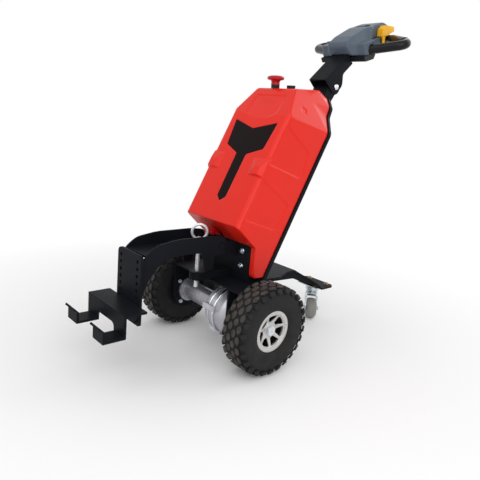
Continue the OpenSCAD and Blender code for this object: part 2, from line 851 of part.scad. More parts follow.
// Outline of an arm cheek: Y, Z and corner radius
cheek_side = [[hitch_back, 318, 0], [hitch_back, 216, 0], [-296, 262, 110], [-256, 312, 64], [-215, 324, 70],
    [-118, 324, 10], [-106, 268, 3], [-76, 268, 3], [-74, 310, 5], [-30, 312, 10], [-36, 364, 16],
    [-90, 370, 60], [-205, 370, 140], [-270, 360, 56], [-300, 338, 56]];
arm_bolt_y = -52;
arm_bolt_z = 338;
arm_bolt_r = 6;

// Side outline of the folded web between the cheeks: a front part, then a step up to the spring's seat
seat_z = 334;
web_z = 328;
web_t = 6;
web_side = [[-300, web_z], [-164, web_z], [-154, seat_z], [-70, seat_z], [-70, seat_z + web_t],
    [-157, seat_z + web_t], [-167, web_z + web_t], [-300, web_z + web_t]];
module hitch_arm() {
    color(black) placed() difference() {
        union() {
            both_sides() along_x(cheek_w - cheek_t, cheek_w)
                polygon(rounded(places(cheek_side), radii(cheek_side)));
            along_x(-cheek_w + cheek_t / 2, cheek_w - cheek_t / 2) polygon(web_side);
            block([-20, -80, seat_z], [20, -28, seat_z + web_t]);
        }
        translate([0, -pin_y, 300]) cylinder(r = pin_r + fit, h = 100);
        both_sides() bar_x(cheek_w - cheek_t - 1, cheek_w + 1, arm_bolt_y, arm_bolt_z, arm_bolt_r + fit);
    }
}

module hitch_bolts() {
    color(zinc) placed() for (x = [-1, 1])
        translate([x * hole_span / 2, 0, hole_top - (hole_count - 1) * hole_pitch]) rotate([90, 0, 0]) {
            translate([0, 0, -hitch_back]) cylinder(r = hole_r - 0.25, h = hitch_t + hook_t + gap);
            translate([0, 0, hitch_y + hook_t]) cylinder(r = hole_r + 3, h = 6, $fn = 6);
            translate([0, 0, -hitch_back - 6]) cylinder(r = hole_r + 3, h = 6, $fn = 6);
        }
}

// Folded hook: tab, top flange, front web, tray, lip and flare, drawn in Y and Z
module hook_profile() {
    back = -hitch_y;
    web_y = back - hook_reach;
    lip_y = web_y - hook_tray;
    inner = hook_top - hook_t;
    tray_top = hook_bottom + hook_t;
    lip_top = hook_bottom + lip_h;
    polygon([[back, 152], [back, hook_top], [web_y - hook_t, hook_top], [web_y - hook_t, tray_top],
        [lip_y, tray_top], [lip_y, lip_top - 2.5], [lip_y - hook_flare, lip_top - 2.5 + hook_flare],
        [lip_y - hook_flare - flare_edge, lip_top - 2.5 - flare_edge + hook_flare],
        [lip_y - hook_t, lip_top], [lip_y - hook_t, hook_bottom],
        [web_y, hook_bottom], [web_y, inner], [back - hook_t, inner], [back - hook_t, 152]]);
}

module hook() {
    back = -hitch_y;
    web_y = back - hook_reach;
    color(black) placed() difference() {
        along_x(-hook_w / 2, hook_w / 2) hook_profile();
        hole_grid(hole_r, back - hook_t - 1, back + 1, [hole_count - 1]);
        block([-hook_gap / 2, -600, 100], [hook_gap / 2, web_y - hook_t - 0.01, 300]);
        along_y(-600, web_y + 1) polygon(rounded([[-hook_gap / 2, 100], [hook_gap / 2, 100],
            [hook_gap / 2, hook_bottom + 27], [-hook_gap / 2, hook_bottom + 27]], [0, 0, 14, 14]));
        both_sides() along_y(back - hook_t - 1, back + 1) polygon([[44, 100], [44, 153], [62, 172],
            [62, hook_top - hook_t], [hook_w, hook_top - hook_t], [hook_w, 100]]);
    }
}

module arm_lugs() {
    x1 = cheek_w - cheek_t - gap;
    color(black) placed() difference() {
        both_sides() along_x(x1 - 6, x1) polygon(rounded([[front_y, 300], [front_y, 335], [6, 344],
            [-62, 352], [-68, 326], [-30, 318]], [0, 0, 4, 8, 8, 8]));
        bar_x(-80, 80, arm_bolt_y, arm_bolt_z, arm_bolt_r + fit);
    }
}

module arm_bolts() {
    color(zinc) placed() {
        both_sides() {
            bar_x(cheek_w - cheek_t - 12, cheek_w, arm_bolt_y, arm_bolt_z, arm_bolt_r);
            translate([cheek_w, arm_bolt_y, arm_bolt_z]) rotate([0, 90, 0])
                cylinder(r = arm_bolt_r + 4, h = 3, $fn = 6);
        }
    }
}

tongue_w = 22;
tongue_top = 252;
module lock_tongue() {
    color(black) placed() difference() {
        union() {
            block([-tongue_w, -pin_y, base_top], [tongue_w, front_y, tongue_top]);
            translate([0, -pin_y, base_top]) cylinder(r = tongue_w, h = tongue_top - base_top);
        }
        translate([0, -pin_y, base_top - 1]) cylinder(r = pin_r + fit, h = 60);
    }
}

module lock_pin() {
    eye = 349;
    color(zinc) placed() {
        translate([0, -pin_y, pin_bottom]) cylinder(r = pin_r, h = eye + 7 - pin_bottom);
        translate([0, -pin_y, eye + ring_r]) rotate([90, 0, 60]) rotate_extrude()
            translate([ring_r, 0]) circle(r = ring_wire, $fn = 24);
    }
}

module arm_spring() {
    color([0.45, 0.15, 0.1]) placed() translate([0, -44, tongue_top + gap])
        cylinder(r = 9, h = seat_z - tongue_top - 2 * gap);
}

// Caster
pad_t = 6;
pad_y1 = swivel_y + 42;
bend_y = 292;
bend_z = base_z - 6;
foot_bend_y = swivel_y - 46;
foot_bend_z = pad_top + 19;
tongue_back = base_back - 4;

// Right edge of the caster tongue in plan: side place, place and corner radius
tongue_edge = [[92, tongue_back, 0], [88, 176, 20], [54, 250, 60], [48, 320, 120], [54, foot_bend_y, 40],
    [66, swivel_y - 26, 20], [66, pad_y1 - 12, 8], [54, pad_y1, 8]];
tongue_plan = [each tongue_edge, for (k = [len(tongue_edge) - 1:-1:0])
    [-tongue_edge[k].x, tongue_edge[k].y, tongue_edge[k].z]];

// Side outline of its top face: place and height
tongue_line = [[tongue_back, base_z - gap], [bend_y, bend_z], [foot_bend_y, foot_bend_z],
    [swivel_y - 28, pad_top], [pad_y1 + 4, pad_top]];
module caster_tongue() {
    n = len(tongue_line) - 1;
    color(black) placed() union() {
        intersection() {
            along_x(-110, 110) polygon([for (k = [n:-1:0]) tongue_line[k],
                for (p = tongue_line) [p.x, p.y - pad_t]]);
            translate([0, 0, 50]) linear_extrude(250)
                polygon(rounded(places(tongue_plan), radii(tongue_plan)));
        }
        both_sides() along_x(39, 45) polygon([[tongue_back, base_z - gap - 1], [tongue_back, base_z - 30],
            [bend_y, bend_z - 32], [foot_bend_y, foot_bend_z - 12], [foot_bend_y, foot_bend_z - 1],
            [bend_y, bend_z - 1]]);
    }
}

mount_t = 3;
race_h = 7;
mount_z = pad_top - pad_t;
module caster_mount() {
    color(zinc) placed() {
        block([-46, swivel_y - 33, mount_z - mount_t], [46, swivel_y + 33, mount_z]);
        translate([0, swivel_y, mount_z - mount_t - race_h]) cylinder(r = 23, h = race_h);
    }
}

// Frame of the swivelled fork: the origin is the swivel on the floor, Y points against the trail
module swivelled() {
    translate([0, swivel_y, 0]) rotate([0, 0, caster_turn]) children();
}
fork_top = mount_z - mount_t - race_h - gap;
fork_t = 3;
module caster_fork() {
    inner = caster_w / 2 + 2;
    color(zinc) placed() swivelled() difference() {
        union() {
            translate([0, 0, fork_top - 6]) cylinder(r = 25, h = 6);
            block([-inner - fork_t, -22, fork_top - 10], [inner + fork_t, 22, fork_top - 6]);
            both_sides() along_x(inner, inner + fork_t)
                polygon(rounded([[-22, fork_top - 6], [-trail - 10, caster_r - 4], [-trail + 2, caster_r - 11],
                    [-trail + 10, caster_r - 2], [22, fork_top - 6]], [0, 6, 4, 6, 0]));
        }
        bar_x(-60, 60, -trail, caster_r, 4 + fit);
    }
}

module caster_axle() {
    inner = caster_w / 2 + 2 + fork_t;
    color(zinc) placed() swivelled() {
        bar_x(-inner, inner, -trail, caster_r, 4);
        both_sides() translate([inner, -trail, caster_r]) rotate([0, 90, 0]) cylinder(r = 7, h = 5, $fn = 6);
    }
}

module caster_wheel() {
    half = caster_w / 2;
    color([0.6, 0.6, 0.6]) placed() swivelled() difference() {
        turned_x(-trail, caster_r, wheel_steps) polygon([[0, -half + 2], [caster_r - 14, -half + 2], [caster_r - 13, -half],
            [caster_r - 8, -half], [caster_r - 2, -half + 5], [caster_r, -half + 11], [caster_r, half - 11],
            [caster_r - 2, half - 5], [caster_r - 8, half], [caster_r - 13, half], [caster_r - 14, half - 2],
            [0, half - 2]]);
        bar_x(-60, 60, -trail, caster_r, 4 + fit);
    }
}

left_tyre();
left_rim();
right_tyre();
right_rim();
left_shaft();
right_shaft();
axle_tube();
gear_housing();
drive_motor();
left_hanger();
right_hanger();
base_plate();
front_plate();
side_plates();
back_plate();
battery();
cover();
front_inset();
stop_collar();
stop_button();
charge_cap();
release_lever();
neck();
hinge_pin();
tiller_arm();
head_shell();
head_clamp();
handle_bars();
thumb_levers();
hitch_arm();
hitch_plate();
hitch_bolts();
hook();
arm_lugs();
arm_bolts();
lock_tongue();
lock_pin();
arm_spring();
caster_tongue();
caster_mount();
caster_fork();
caster_axle();
caster_wheel();
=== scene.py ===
import json
import math

import bmesh
import bpy
from mathutils import Matrix, Vector


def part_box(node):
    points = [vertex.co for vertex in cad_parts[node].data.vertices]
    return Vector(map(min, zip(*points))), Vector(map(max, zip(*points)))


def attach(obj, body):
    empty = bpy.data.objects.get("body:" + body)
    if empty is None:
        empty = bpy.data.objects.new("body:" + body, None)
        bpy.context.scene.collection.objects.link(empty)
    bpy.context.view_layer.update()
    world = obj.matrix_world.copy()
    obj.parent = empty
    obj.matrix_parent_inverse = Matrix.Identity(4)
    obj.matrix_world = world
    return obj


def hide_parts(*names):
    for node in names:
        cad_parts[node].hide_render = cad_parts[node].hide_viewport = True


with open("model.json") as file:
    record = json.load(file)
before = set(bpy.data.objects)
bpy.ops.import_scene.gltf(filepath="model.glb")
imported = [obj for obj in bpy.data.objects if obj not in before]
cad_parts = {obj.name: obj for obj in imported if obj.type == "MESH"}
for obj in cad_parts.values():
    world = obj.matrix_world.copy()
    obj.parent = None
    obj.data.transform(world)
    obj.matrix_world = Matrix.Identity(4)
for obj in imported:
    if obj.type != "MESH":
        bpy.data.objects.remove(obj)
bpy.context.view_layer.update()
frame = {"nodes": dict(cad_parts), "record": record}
nodes = frame["nodes"]
print("frame loaded,", len(nodes), "pieces")

# Middle of the drive axle, in metres of the frame
rimLow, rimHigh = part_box("left_rim")
axle = Vector((0, (rimLow.y + rimHigh.y) / 2, (rimLow.z + rimHigh.z) / 2))


# Shader and geometry trees

class Wire:
    # one output of a node, so that maths on it can be written as an expression
    def __init__(self, board, socket):
        self.board = board
        self.socket = socket

    def __add__(self, other):
        return self.board.maths("ADD", self, other)

    def __sub__(self, other):
        return self.board.maths("SUBTRACT", self, other)

    def __rsub__(self, other):
        return self.board.maths("SUBTRACT", other, self)

    def __mul__(self, other):
        return self.board.maths("MULTIPLY", self, other)

    def __truediv__(self, other):
        return self.board.maths("DIVIDE", self, other)

    def __rtruediv__(self, other):
        return self.board.maths("DIVIDE", other, self)

    def __pow__(self, other):
        return self.board.maths("POWER", self, other)

    def __neg__(self):
        return self.board.maths("MULTIPLY", self, -1)

    __radd__ = __add__
    __rmul__ = __mul__


class Board:
    # a node tree that nodes are added to
    def __init__(self, tree):
        self.tree = tree

    def node(self, kind, settings=None, sockets=None):
        made = self.tree.nodes.new(kind)
        for name, value in (settings or {}).items():
            setattr(made, name, value)
        for name, value in (sockets or {}).items():
            self.feed(made.inputs[name], value)
        return made

    def add(self, kind, settings=None, sockets=None, out=0):
        return Wire(self, self.node(kind, settings, sockets).outputs[out])

    def feed(self, socket, value):
        if isinstance(value, Wire):
            self.tree.links.new(value.socket, socket)
        else:
            socket.default_value = value

    def maths(self, operation, a, b=0.0):
        return self.add("ShaderNodeMath", {"operation": operation}, {0: a, 1: b})

    def seenRays(self):
        # 1 for the rays that show the white background: the camera's, mirrored and passed ones
        rays = self.node("ShaderNodeLightPath")
        camera, glossy, passed = (Wire(self, rays.outputs["Is " + kind + " Ray"])
                                  for kind in ("Camera", "Glossy", "Transmission"))
        return self.maths("MAXIMUM", camera, self.maths("MAXIMUM", glossy, passed))


socketNames = {
    "color": "Base Color", "rough": "Roughness", "metal": "Metallic", "coat": "Coat Weight",
    "coatRough": "Coat Roughness", "normal": "Normal", "specular": "Specular IOR Level",
}


class Finish(Board):
    # a material with one Principled surface
    def __init__(self, name, **values):
        self.material = bpy.data.materials.new(name)
        self.material.use_nodes = True
        super().__init__(self.material.node_tree)
        self.tree.nodes.clear()
        self.surface = self.node("ShaderNodeBsdfPrincipled")
        self.end = self.node("ShaderNodeOutputMaterial", None,
                             {"Surface": Wire(self, self.surface.outputs[0])})
        self.set(**values)

    def set(self, **values):
        for name, value in values.items():
            if name == "color" and not isinstance(value, Wire):
                value = (*value, 1)
            self.feed(self.surface.inputs[socketNames[name]], value)

    def place(self, centre=(0, 0, 0)):
        # the object's own coordinates, counted from a centre
        return self.add("ShaderNodeMapping", None, {
            "Vector": self.add("ShaderNodeTexCoord", out="Object"),
            "Location": [-c for c in centre]})

    def axis(self, vector, letter):
        return self.add("ShaderNodeSeparateXYZ", None, {0: vector}, letter)

    def noise(self, scale, detail):
        return self.add("ShaderNodeTexNoise", None, {
            "Vector": self.place(), "Scale": scale, "Detail": detail}, "Fac")

    def spread(self, value, low, high, start=0.0, end=1.0):
        # value from low to high becomes start to end, and stays inside them
        return self.add("ShaderNodeMapRange", {"clamp": True}, {
            "Value": value, "From Min": low, "From Max": high,
            "To Min": start, "To Max": end})

    def mix(self, factor, a, b):
        sides = [v if isinstance(v, Wire) else (*v, 1) for v in (a, b)]
        return self.add("ShaderNodeMix", {"data_type": "RGBA"},
                        {"Factor": factor, 6: sides[0], 7: sides[1]}, 2)

    def bump(self, height, distance, strength, normal=None):
        sockets = {"Height": height, "Distance": distance, "Strength": strength}
        if normal is not None:
            sockets["Normal"] = normal
        return self.add("ShaderNodeBump", None, sockets)

    def softEdges(self, radius):
        # normal that rounds the sharp edges of a piece, where its mesh doesn't
        if radius:
            return self.add("ShaderNodeBevel", {"samples": 6}, {"Radius": radius})


print("tree helpers ready")


# Finishes

def shaded(tint, share):
    return [c * share for c in tint]


def powderBlack(name, tint, rough=0.42, edge=0.0026):
    f = Finish(name, specular=0.04)
    grain, patches = f.noise(900, 2), f.noise(9, 4)
    f.set(color=f.mix(f.spread(patches, 0.35, 0.7), tint, shaded(tint, 1.35)),
          rough=f.spread(patches, 0.3, 0.75, rough - 0.05, rough + 0.08),
          normal=f.bump(grain, 0.0003, 0.3, f.softEdges(edge)))
    return f.material


def glossRed(name, tint, edge):
    f = Finish(name, coat=0.24, coatRough=0.06, specular=0.10)
    patches = f.noise(5, 2)
    f.set(color=f.mix(f.spread(patches, 0.3, 0.8), tint, shaded(tint, 1.06)),
          rough=f.spread(patches, 0.3, 0.7, 0.30, 0.36),
          normal=f.bump(f.noise(26, 1), 0.0004, 0.05, f.softEdges(edge)))
    return f.material


def mouldedPlastic(name, tint, rough=0.5, edge=0.0012, shine=0.18, grainDepth=0.25):
    f = Finish(name, specular=shine)
    patches = f.noise(14, 3)
    f.set(color=f.mix(f.spread(patches, 0.3, 0.75), tint, shaded(tint, 1.12)),
          rough=f.spread(patches, 0.3, 0.7, rough - 0.04, rough + 0.05),
          normal=f.bump(f.noise(1400, 1), 0.0001, grainDepth, f.softEdges(edge)))
    return f.material


def platedSteel(name, tint, rough=0.28):
    f = Finish(name, metal=1.0)
    patches = f.noise(60, 4)
    f.set(color=f.mix(f.spread(patches, 0.3, 0.75), shaded(tint, 0.82), tint),
          rough=f.spread(patches, 0.25, 0.75, rough - 0.08, rough + 0.12),
          normal=f.softEdges(0.0006))
    return f.material


def castAluminium(name, tint, rough=0.42, grainDepth=0.18, metal=0.6):
    f = Finish(name, metal=metal, specular=0.5)
    grain, patches = f.noise(420, 3), f.noise(16, 4)
    f.set(color=f.mix(f.spread(patches, 0.3, 0.75), shaded(tint, 0.72), tint),
          rough=f.spread(grain, 0.3, 0.7, rough - 0.1, rough + 0.08),
          normal=f.bump(grain, 0.0004, grainDepth, f.softEdges(0.0012)))
    return f.material


def rimSilver(name, tint):
    f = Finish(name, metal=0.45, coat=0.3, coatRough=0.12)
    patches = f.noise(30, 3)
    f.set(color=f.mix(f.spread(patches, 0.3, 0.8), shaded(tint, 0.9), tint),
          rough=f.spread(patches, 0.3, 0.7, 0.22, 0.34), normal=f.softEdges(0.0012))
    return f.material


# Fine rings in radians a metre, the wall's two edges in metres from the axle, and the depths
# under the tread's top where its wear begins and is full
tyreMarks = {"rings": 1900, "wallIn": (0.064, 0.066), "wallOut": (0.100, 0.104),
             "wornFrom": 0.0034, "wornTo": 0.0012}


def blockRubber(name, tint, wornTint):
    f = Finish(name, specular=0.2)
    where = f.place(centre=axle)
    y, z = f.axis(where, "Y"), f.axis(where, "Z")
    radius = f.maths("SQRT", y * y + z * z)
    scuff = f.spread(f.noise(55, 3), 0.3, 0.7, 0.25, 1)
    worn = f.spread(radius, axle.z - tyreMarks["wornFrom"], axle.z - tyreMarks["wornTo"]) * scuff
    dust = f.spread(f.noise(35, 5), 0.45, 0.8, 0, 0.4)
    base = f.mix(dust, tint, shaded(tint, 2.0))
    wall = f.spread(radius, *tyreMarks["wallIn"]) * f.spread(radius, *tyreMarks["wallOut"], 1, 0)
    rings = f.maths("SINE", radius * tyreMarks["rings"]) * wall
    f.set(color=f.mix(worn, base, wornTint),
          rough=f.spread(f.noise(20, 3), 0.3, 0.7, 0.6, 0.78),
          normal=f.bump(f.noise(500, 3) * 0.5 + rings * 0.5, 0.0006, 0.45, f.softEdges(0.0016)))
    return f.material


motorBand = {"from": -0.075, "to": -0.012, "fade": 0.001}    # along X, in metres


def motorEnamel(name, tint, bandTint):
    # enamel with a plain grey band round the middle of the motor's body
    f = Finish(name, specular=0.5, coat=0.2)
    x = f.axis(f.place(), "X")
    band = (f.spread(x, motorBand["from"], motorBand["from"] + motorBand["fade"])
            * f.spread(x, motorBand["to"] - motorBand["fade"], motorBand["to"], 1, 0))
    patches = f.noise(18, 3)
    f.set(color=f.mix(band, tint, bandTint), rough=f.spread(patches, 0.3, 0.7, 0.3, 0.42),
          normal=f.softEdges(0.002))
    return f.material


tints = {
    "red": (0.72, 0.018, 0.008), "stopRed": (0.42, 0.006, 0.012),
    "black": (0.010, 0.0105, 0.012), "coldBlack": (0.0074, 0.0082, 0.0108),
    "insetBlack": (0.0065, 0.0028, 0.0032), "gripBlack": (0.0068, 0.0070, 0.0085),
    # rimPaintedShade: painted shade, a near black for the inside of the rim's silver barrel
    "rimPaintedShade": (0.008, 0.009, 0.011), "bandGrey": (0.085, 0.088, 0.088),
    "slate": (0.082, 0.108, 0.140), "yellow": (0.84, 0.42, 0.014),
    "rubber": (0.0135, 0.013, 0.0135), "wornRubber": (0.078, 0.066, 0.060),
    "aluminium": (0.62, 0.615, 0.665), "tube": (0.47, 0.47, 0.51), "pin": (0.86, 0.89, 0.93),
    "zinc": (0.62, 0.67, 0.72), "yellowZinc": (0.52, 0.38, 0.22), "chrome": (0.78, 0.82, 0.88),
    "rim": (0.58, 0.565, 0.55), "grey": (0.24, 0.235, 0.215), "springBrown": (0.16, 0.030, 0.016),
}
finishes = {
    "cover_red": glossRed("cover red", tints["red"], 0),
    "stop_red": glossRed("stop button red", tints["stopRed"], 0.001),
    "frame_black": powderBlack("frame powder coat", tints["coldBlack"]),
    "motor_black": motorEnamel("motor enamel", tints["black"], tints["bandGrey"]),
    "inset_black": mouldedPlastic("inset black", tints["insetBlack"], 0.40, shine=0.06),
    "small_black": mouldedPlastic("small black plastic", tints["black"], 0.42),
    "slate": mouldedPlastic("slate plastic", tints["slate"], 0.40, 0.002),
    "grip": mouldedPlastic("grip rubber", tints["gripBlack"], 0.2, 0, 0.18, 0.02),
    "yellow": mouldedPlastic("yellow lever", tints["yellow"], 0.35, 0.0015),
    "zinc": platedSteel("zinc plate", tints["zinc"]),
    "chrome": platedSteel("bright zinc", tints["chrome"], 0.18),
    "yellow_zinc": platedSteel("yellow zinc plate", tints["yellowZinc"], 0.35),
    "aluminium": castAluminium("cast aluminium", tints["aluminium"]),
    "tube": castAluminium("drawn tube", tints["tube"], 0.3, 0.01),
    "pin": castAluminium("bright pin", tints["pin"], 0.3, 0.01, 0.4),
    "rim": rimSilver("rim silver", tints["rim"]),
    # rim_dark is painted shade on the rim's barrel and web behind the windows
    "rim_dark": mouldedPlastic("rim inside", tints["rimPaintedShade"], 0.45, shine=0.2),
    "tyre": blockRubber("block tread rubber", tints["rubber"], tints["wornRubber"]),
    "caster_tyre": mouldedPlastic("caster tread", tints["grey"], 0.45),
    "spring": powderBlack("spring coat", tints["springBrown"], 0.45, 0.0004),
    "battery": mouldedPlastic("battery case", tints["black"], 0.5),
}
ownFinishes = {"axle_tube": "tube", "hitch_bolts": "yellow_zinc", "lock_pin": "pin",
               "caster_mount": "chrome", "left_shaft": "chrome", "right_shaft": "chrome"}
for part in frame["record"]["subparts"]:
    for slot in nodes[part["node"]].material_slots:
        slot.material = finishes[ownFinishes.get(part["node"], part["material_slot"])]
print("finishes ready,", len(finishes))


# Places, counted as the part's source counts them: millimetres from the floor under the axle

spots = {    # leans are in degrees
    "originBack": 100, "axleUp": 132, "hinge": (0, 404, 830), "swivelBack": 464,
    "coverFoot": (0, -58, 407), "coverLean": -26.8, "noseUp": 350, "noseSlope": (18, 99),
    "head": (0, 480, 954), "headLean": 21.5,
}


def at(x, y, z):
    return Vector((x, y - spots["originBack"], z)) / 1000


def tilted(place, degrees):
    return Matrix.Translation(at(*place)) @ Matrix.Rotation(math.radians(degrees), 4, "X")


def facing(place, direction):
    # frame at a place whose Z looks along a direction
    turn = Vector(direction).to_track_quat("Z", "Y").to_matrix().to_4x4()
    return Matrix.Translation(place) @ turn


# In the column's frame Y is depth behind the cover's front and Z is along it
column = tilted(spots["coverFoot"], spots["coverLean"])
noseTurn = Matrix.Rotation(-math.atan2(*spots["noseSlope"]), 4, "X")
nosePanel = column @ Matrix.Translation((0, 0, spots["noseUp"] / 1000)) @ noseTurn
headFrame = tilted(spots["head"], spots["headLean"])
axleFrame = facing(at(0, 0, spots["axleUp"]), (1, 0, 0))    # Z is along the axle, to the right


# Meshes

def held(name, data):
    holder = bpy.data.objects.new(name, data)
    bpy.context.scene.collection.objects.link(holder)
    return holder


def plainMesh(holder):
    # the mesh of an object with its modifiers applied; the object goes
    bpy.context.view_layer.update()
    graph = bpy.context.evaluated_depsgraph_get()
    mesh = bpy.data.meshes.new_from_object(holder.evaluated_get(graph))
    bpy.data.objects.remove(holder)
    return mesh


def addPiece(name, mesh, body, slotName, *replaced, finish=None):
    piece = held(name, mesh)
    mesh.materials.clear()
    mesh.materials.append(finishes[finish or slotName])
    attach(piece, body)
    if replaced:
        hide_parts(*replaced)


def mergedFrom(mesh):
    bm = bmesh.new()
    bm.from_mesh(mesh)
    bmesh.ops.remove_doubles(bm, verts=bm.verts, dist=0.00001)
    return bm


def smoothMesh(bm, name, sharpFrom=35):
    mesh = bpy.data.meshes.new(name)
    bmesh.ops.recalc_face_normals(bm, faces=bm.faces)
    bm.to_mesh(mesh)
    bm.free()
    mesh.shade_smooth()
    mesh.set_sharp_from_angle(angle=math.radians(sharpFrom))
    return mesh


def joined(name, meshes):
    bm = bmesh.new()
    for mesh in meshes:
        bm.from_mesh(mesh)
    whole = bpy.data.meshes.new(name)
    bm.to_mesh(whole)
    bm.free()
    return whole


def around(steps):
    return [math.tau * k / steps for k in range(steps)]


def turnedMesh(name, profile, place, steps=48):
    # profile is radius and height in millimetres, turned about the Z of a place
    bm = bmesh.new()
    line = [bm.verts.new((r / 1000, 0, h / 1000)) for r, h in profile]
    edges = [bm.edges.new(pair) for pair in zip(line, line[1:])]
    bmesh.ops.spin(bm, geom=line + edges, cent=(0, 0, 0), axis=(0, 0, 1), angle=math.tau,
                   steps=steps, use_duplicate=False)
    bmesh.ops.remove_doubles(bm, verts=bm.verts, dist=0.00001)
    bmesh.ops.transform(bm, matrix=place, verts=bm.verts)
    return smoothMesh(bm, name)


def roundedBlock(low, high, place, edge):
    # box with rounded edges, in millimetres of a place
    bm = bmesh.new()
    bmesh.ops.create_cube(bm, size=1)
    for v in bm.verts:
        v.co = Vector([(a + b) / 2 + c * (b - a) for a, b, c in zip(low, high, v.co)]) / 1000
    bmesh.ops.bevel(bm, geom=bm.edges[:], offset=edge / 1000, segments=3, profile=0.5,
                    affect="EDGES")
    bmesh.ops.transform(bm, matrix=place, verts=bm.verts)
    return smoothMesh(bm, "block", 50)


def ovalPlate(centre, half, tall, place, steps=40):
    # low oval plate with a rounded top edge, in millimetres of a place
    bm = bmesh.new()
    middle = Vector(centre)
    loops = []
    for share, z in [(1.0, 0.0), (1.0, tall * 0.5), (0.97, tall * 0.85), (0.90, tall)]:
        offsets = [Vector((half[0] * share * math.cos(a), half[1] * share * math.sin(a), z))
                   for a in around(steps)]
        loops.append([bm.verts.new((middle + offset) / 1000) for offset in offsets])
    for low, high in zip(loops, loops[1:]):
        for i in range(steps):
            after = (i + 1) % steps
            bm.faces.new((low[i], low[after], high[after], high[i]))
    bm.faces.new(loops[-1])
    bm.faces.new(list(reversed(loops[0])))
    bmesh.ops.transform(bm, matrix=place, verts=bm.verts)
    return smoothMesh(bm, "plate", 50)


def plateMesh(outline, low, high, place, edge):
    # plate with rounded edges: outline in Y and Z and thickness along X, in millimetres
    bm = bmesh.new()
    face = bm.faces.new([bm.verts.new(Vector((low, y, z)) / 1000) for y, z in outline])
    grown = bmesh.ops.extrude_face_region(bm, geom=[face])
    bmesh.ops.translate(bm, vec=Vector((high - low, 0, 0)) / 1000,
                        verts=[v for v in grown["geom"] if isinstance(v, bmesh.types.BMVert)])
    bmesh.ops.bevel(bm, geom=bm.edges[:], offset=edge / 1000, segments=2, profile=0.5,
                    affect="EDGES", clamp_overlap=True)
    bmesh.ops.transform(bm, matrix=place, verts=bm.verts)
    return smoothMesh(bm, "plate", 50)


def smoothStep(value, low, high):
    t = min(max((value - low) / (high - low), 0), 1)
    return t * t * (3 - 2 * t)


# Shapes that repeat, made by geometry trees

class Shape(Board):
    # a geometry tree with named inputs, whose result becomes a plain mesh
    kinds = {int: "NodeSocketInt", float: "NodeSocketFloat", tuple: "NodeSocketVector"}

    def __init__(self, name, inputs):
        super().__init__(bpy.data.node_groups.new(name, "GeometryNodeTree"))
        ports = self.tree.interface
        for way in ("OUTPUT", "INPUT"):
            ports.new_socket("Geometry", in_out=way, socket_type="NodeSocketGeometry")
        for label, value in inputs.items():
            ports.new_socket(label, in_out="INPUT", socket_type=self.kinds[type(value)])
        ports.new_socket("Finish", in_out="INPUT", socket_type="NodeSocketMaterial")
        self.defaults = inputs
        self.entry = self.node("NodeGroupInput")
        self.exit = self.node("NodeGroupOutput")

    def read(self, label):
        return Wire(self, self.entry.outputs[label])

    def close(self, geometry):
        real = self.add("GeometryNodeRealizeInstances", None, {0: geometry})
        done = self.add("GeometryNodeSetMaterial", None, {
            0: real, "Material": self.read("Finish")})
        self.feed(self.exit.inputs[0], done)
        return self

    def join(self, *parts):
        whole = self.node("GeometryNodeJoinGeometry")
        for part in parts:
            self.tree.links.new(part.socket, whole.inputs[0])
        return Wire(self, whole.outputs[0])

    def moved(self, geometry, **changes):
        return self.add("GeometryNodeTransform", None, {"Geometry": geometry, **changes})

    def onPoints(self, points, part, **turns):
        return self.close(self.add("GeometryNodeInstanceOnPoints", None, {
            "Points": points, "Instance": part, **turns}))

    def vector(self, x=0.0, y=0.0, z=0.0):
        return self.add("ShaderNodeCombineXYZ", None, {0: x, 1: y, 2: z})

    def grow(self, name, finish, places=((0, 0, 0),), **values):
        seed = bpy.data.meshes.new(name)
        seed.from_pydata([tuple(p) for p in places], [], [])
        holder = held(name + " seed", seed)
        modifier = holder.modifiers.new("shape", "NODES")
        modifier.node_group = self.tree
        chosen = {**self.defaults, **values, "Finish": finishes[finish]}
        for port in self.tree.interface.items_tree:
            if port.in_out == "INPUT" and port.name in chosen:
                modifier[port.identifier] = chosen[port.name]
        holder.update_tag()
        return plainMesh(holder)


def makeScrewShape():
    # screw heads at the points: a washer, a head with its sides, and a low dome
    s = Shape("screw heads", {
        "sides": 6, "head radius": 0.005, "head height": 0.004, "washer radius": 0.007,
        "washer height": 0.001, "direction": (0.0, 0.0, 1.0)})
    headR, headH = s.read("head radius"), s.read("head height")
    washerR, washerH = s.read("washer radius"), s.read("washer height")
    washer = s.moved(s.add("GeometryNodeMeshCylinder", None, {
        "Vertices": 24, "Radius": washerR, "Depth": washerH}),
        Translation=s.vector(z=washerH * 0.5))
    head = s.moved(s.add("GeometryNodeMeshCylinder", None, {
        "Vertices": s.read("sides"), "Radius": headR, "Depth": headH}),
        Translation=s.vector(z=washerH + headH * 0.5))
    dome = s.moved(s.add("GeometryNodeMeshCone", None, {
        "Vertices": 18, "Radius Top": headR * 0.55, "Radius Bottom": headR * 0.84,
        "Depth": headH * 0.22}), Translation=s.vector(z=washerH + headH))
    turn = s.add("FunctionNodeAlignRotationToVector", {"axis": "Z"},
                 {"Vector": s.read("direction")})
    return s.onPoints(s.read("Geometry"), s.join(washer, head, dome), Rotation=turn)


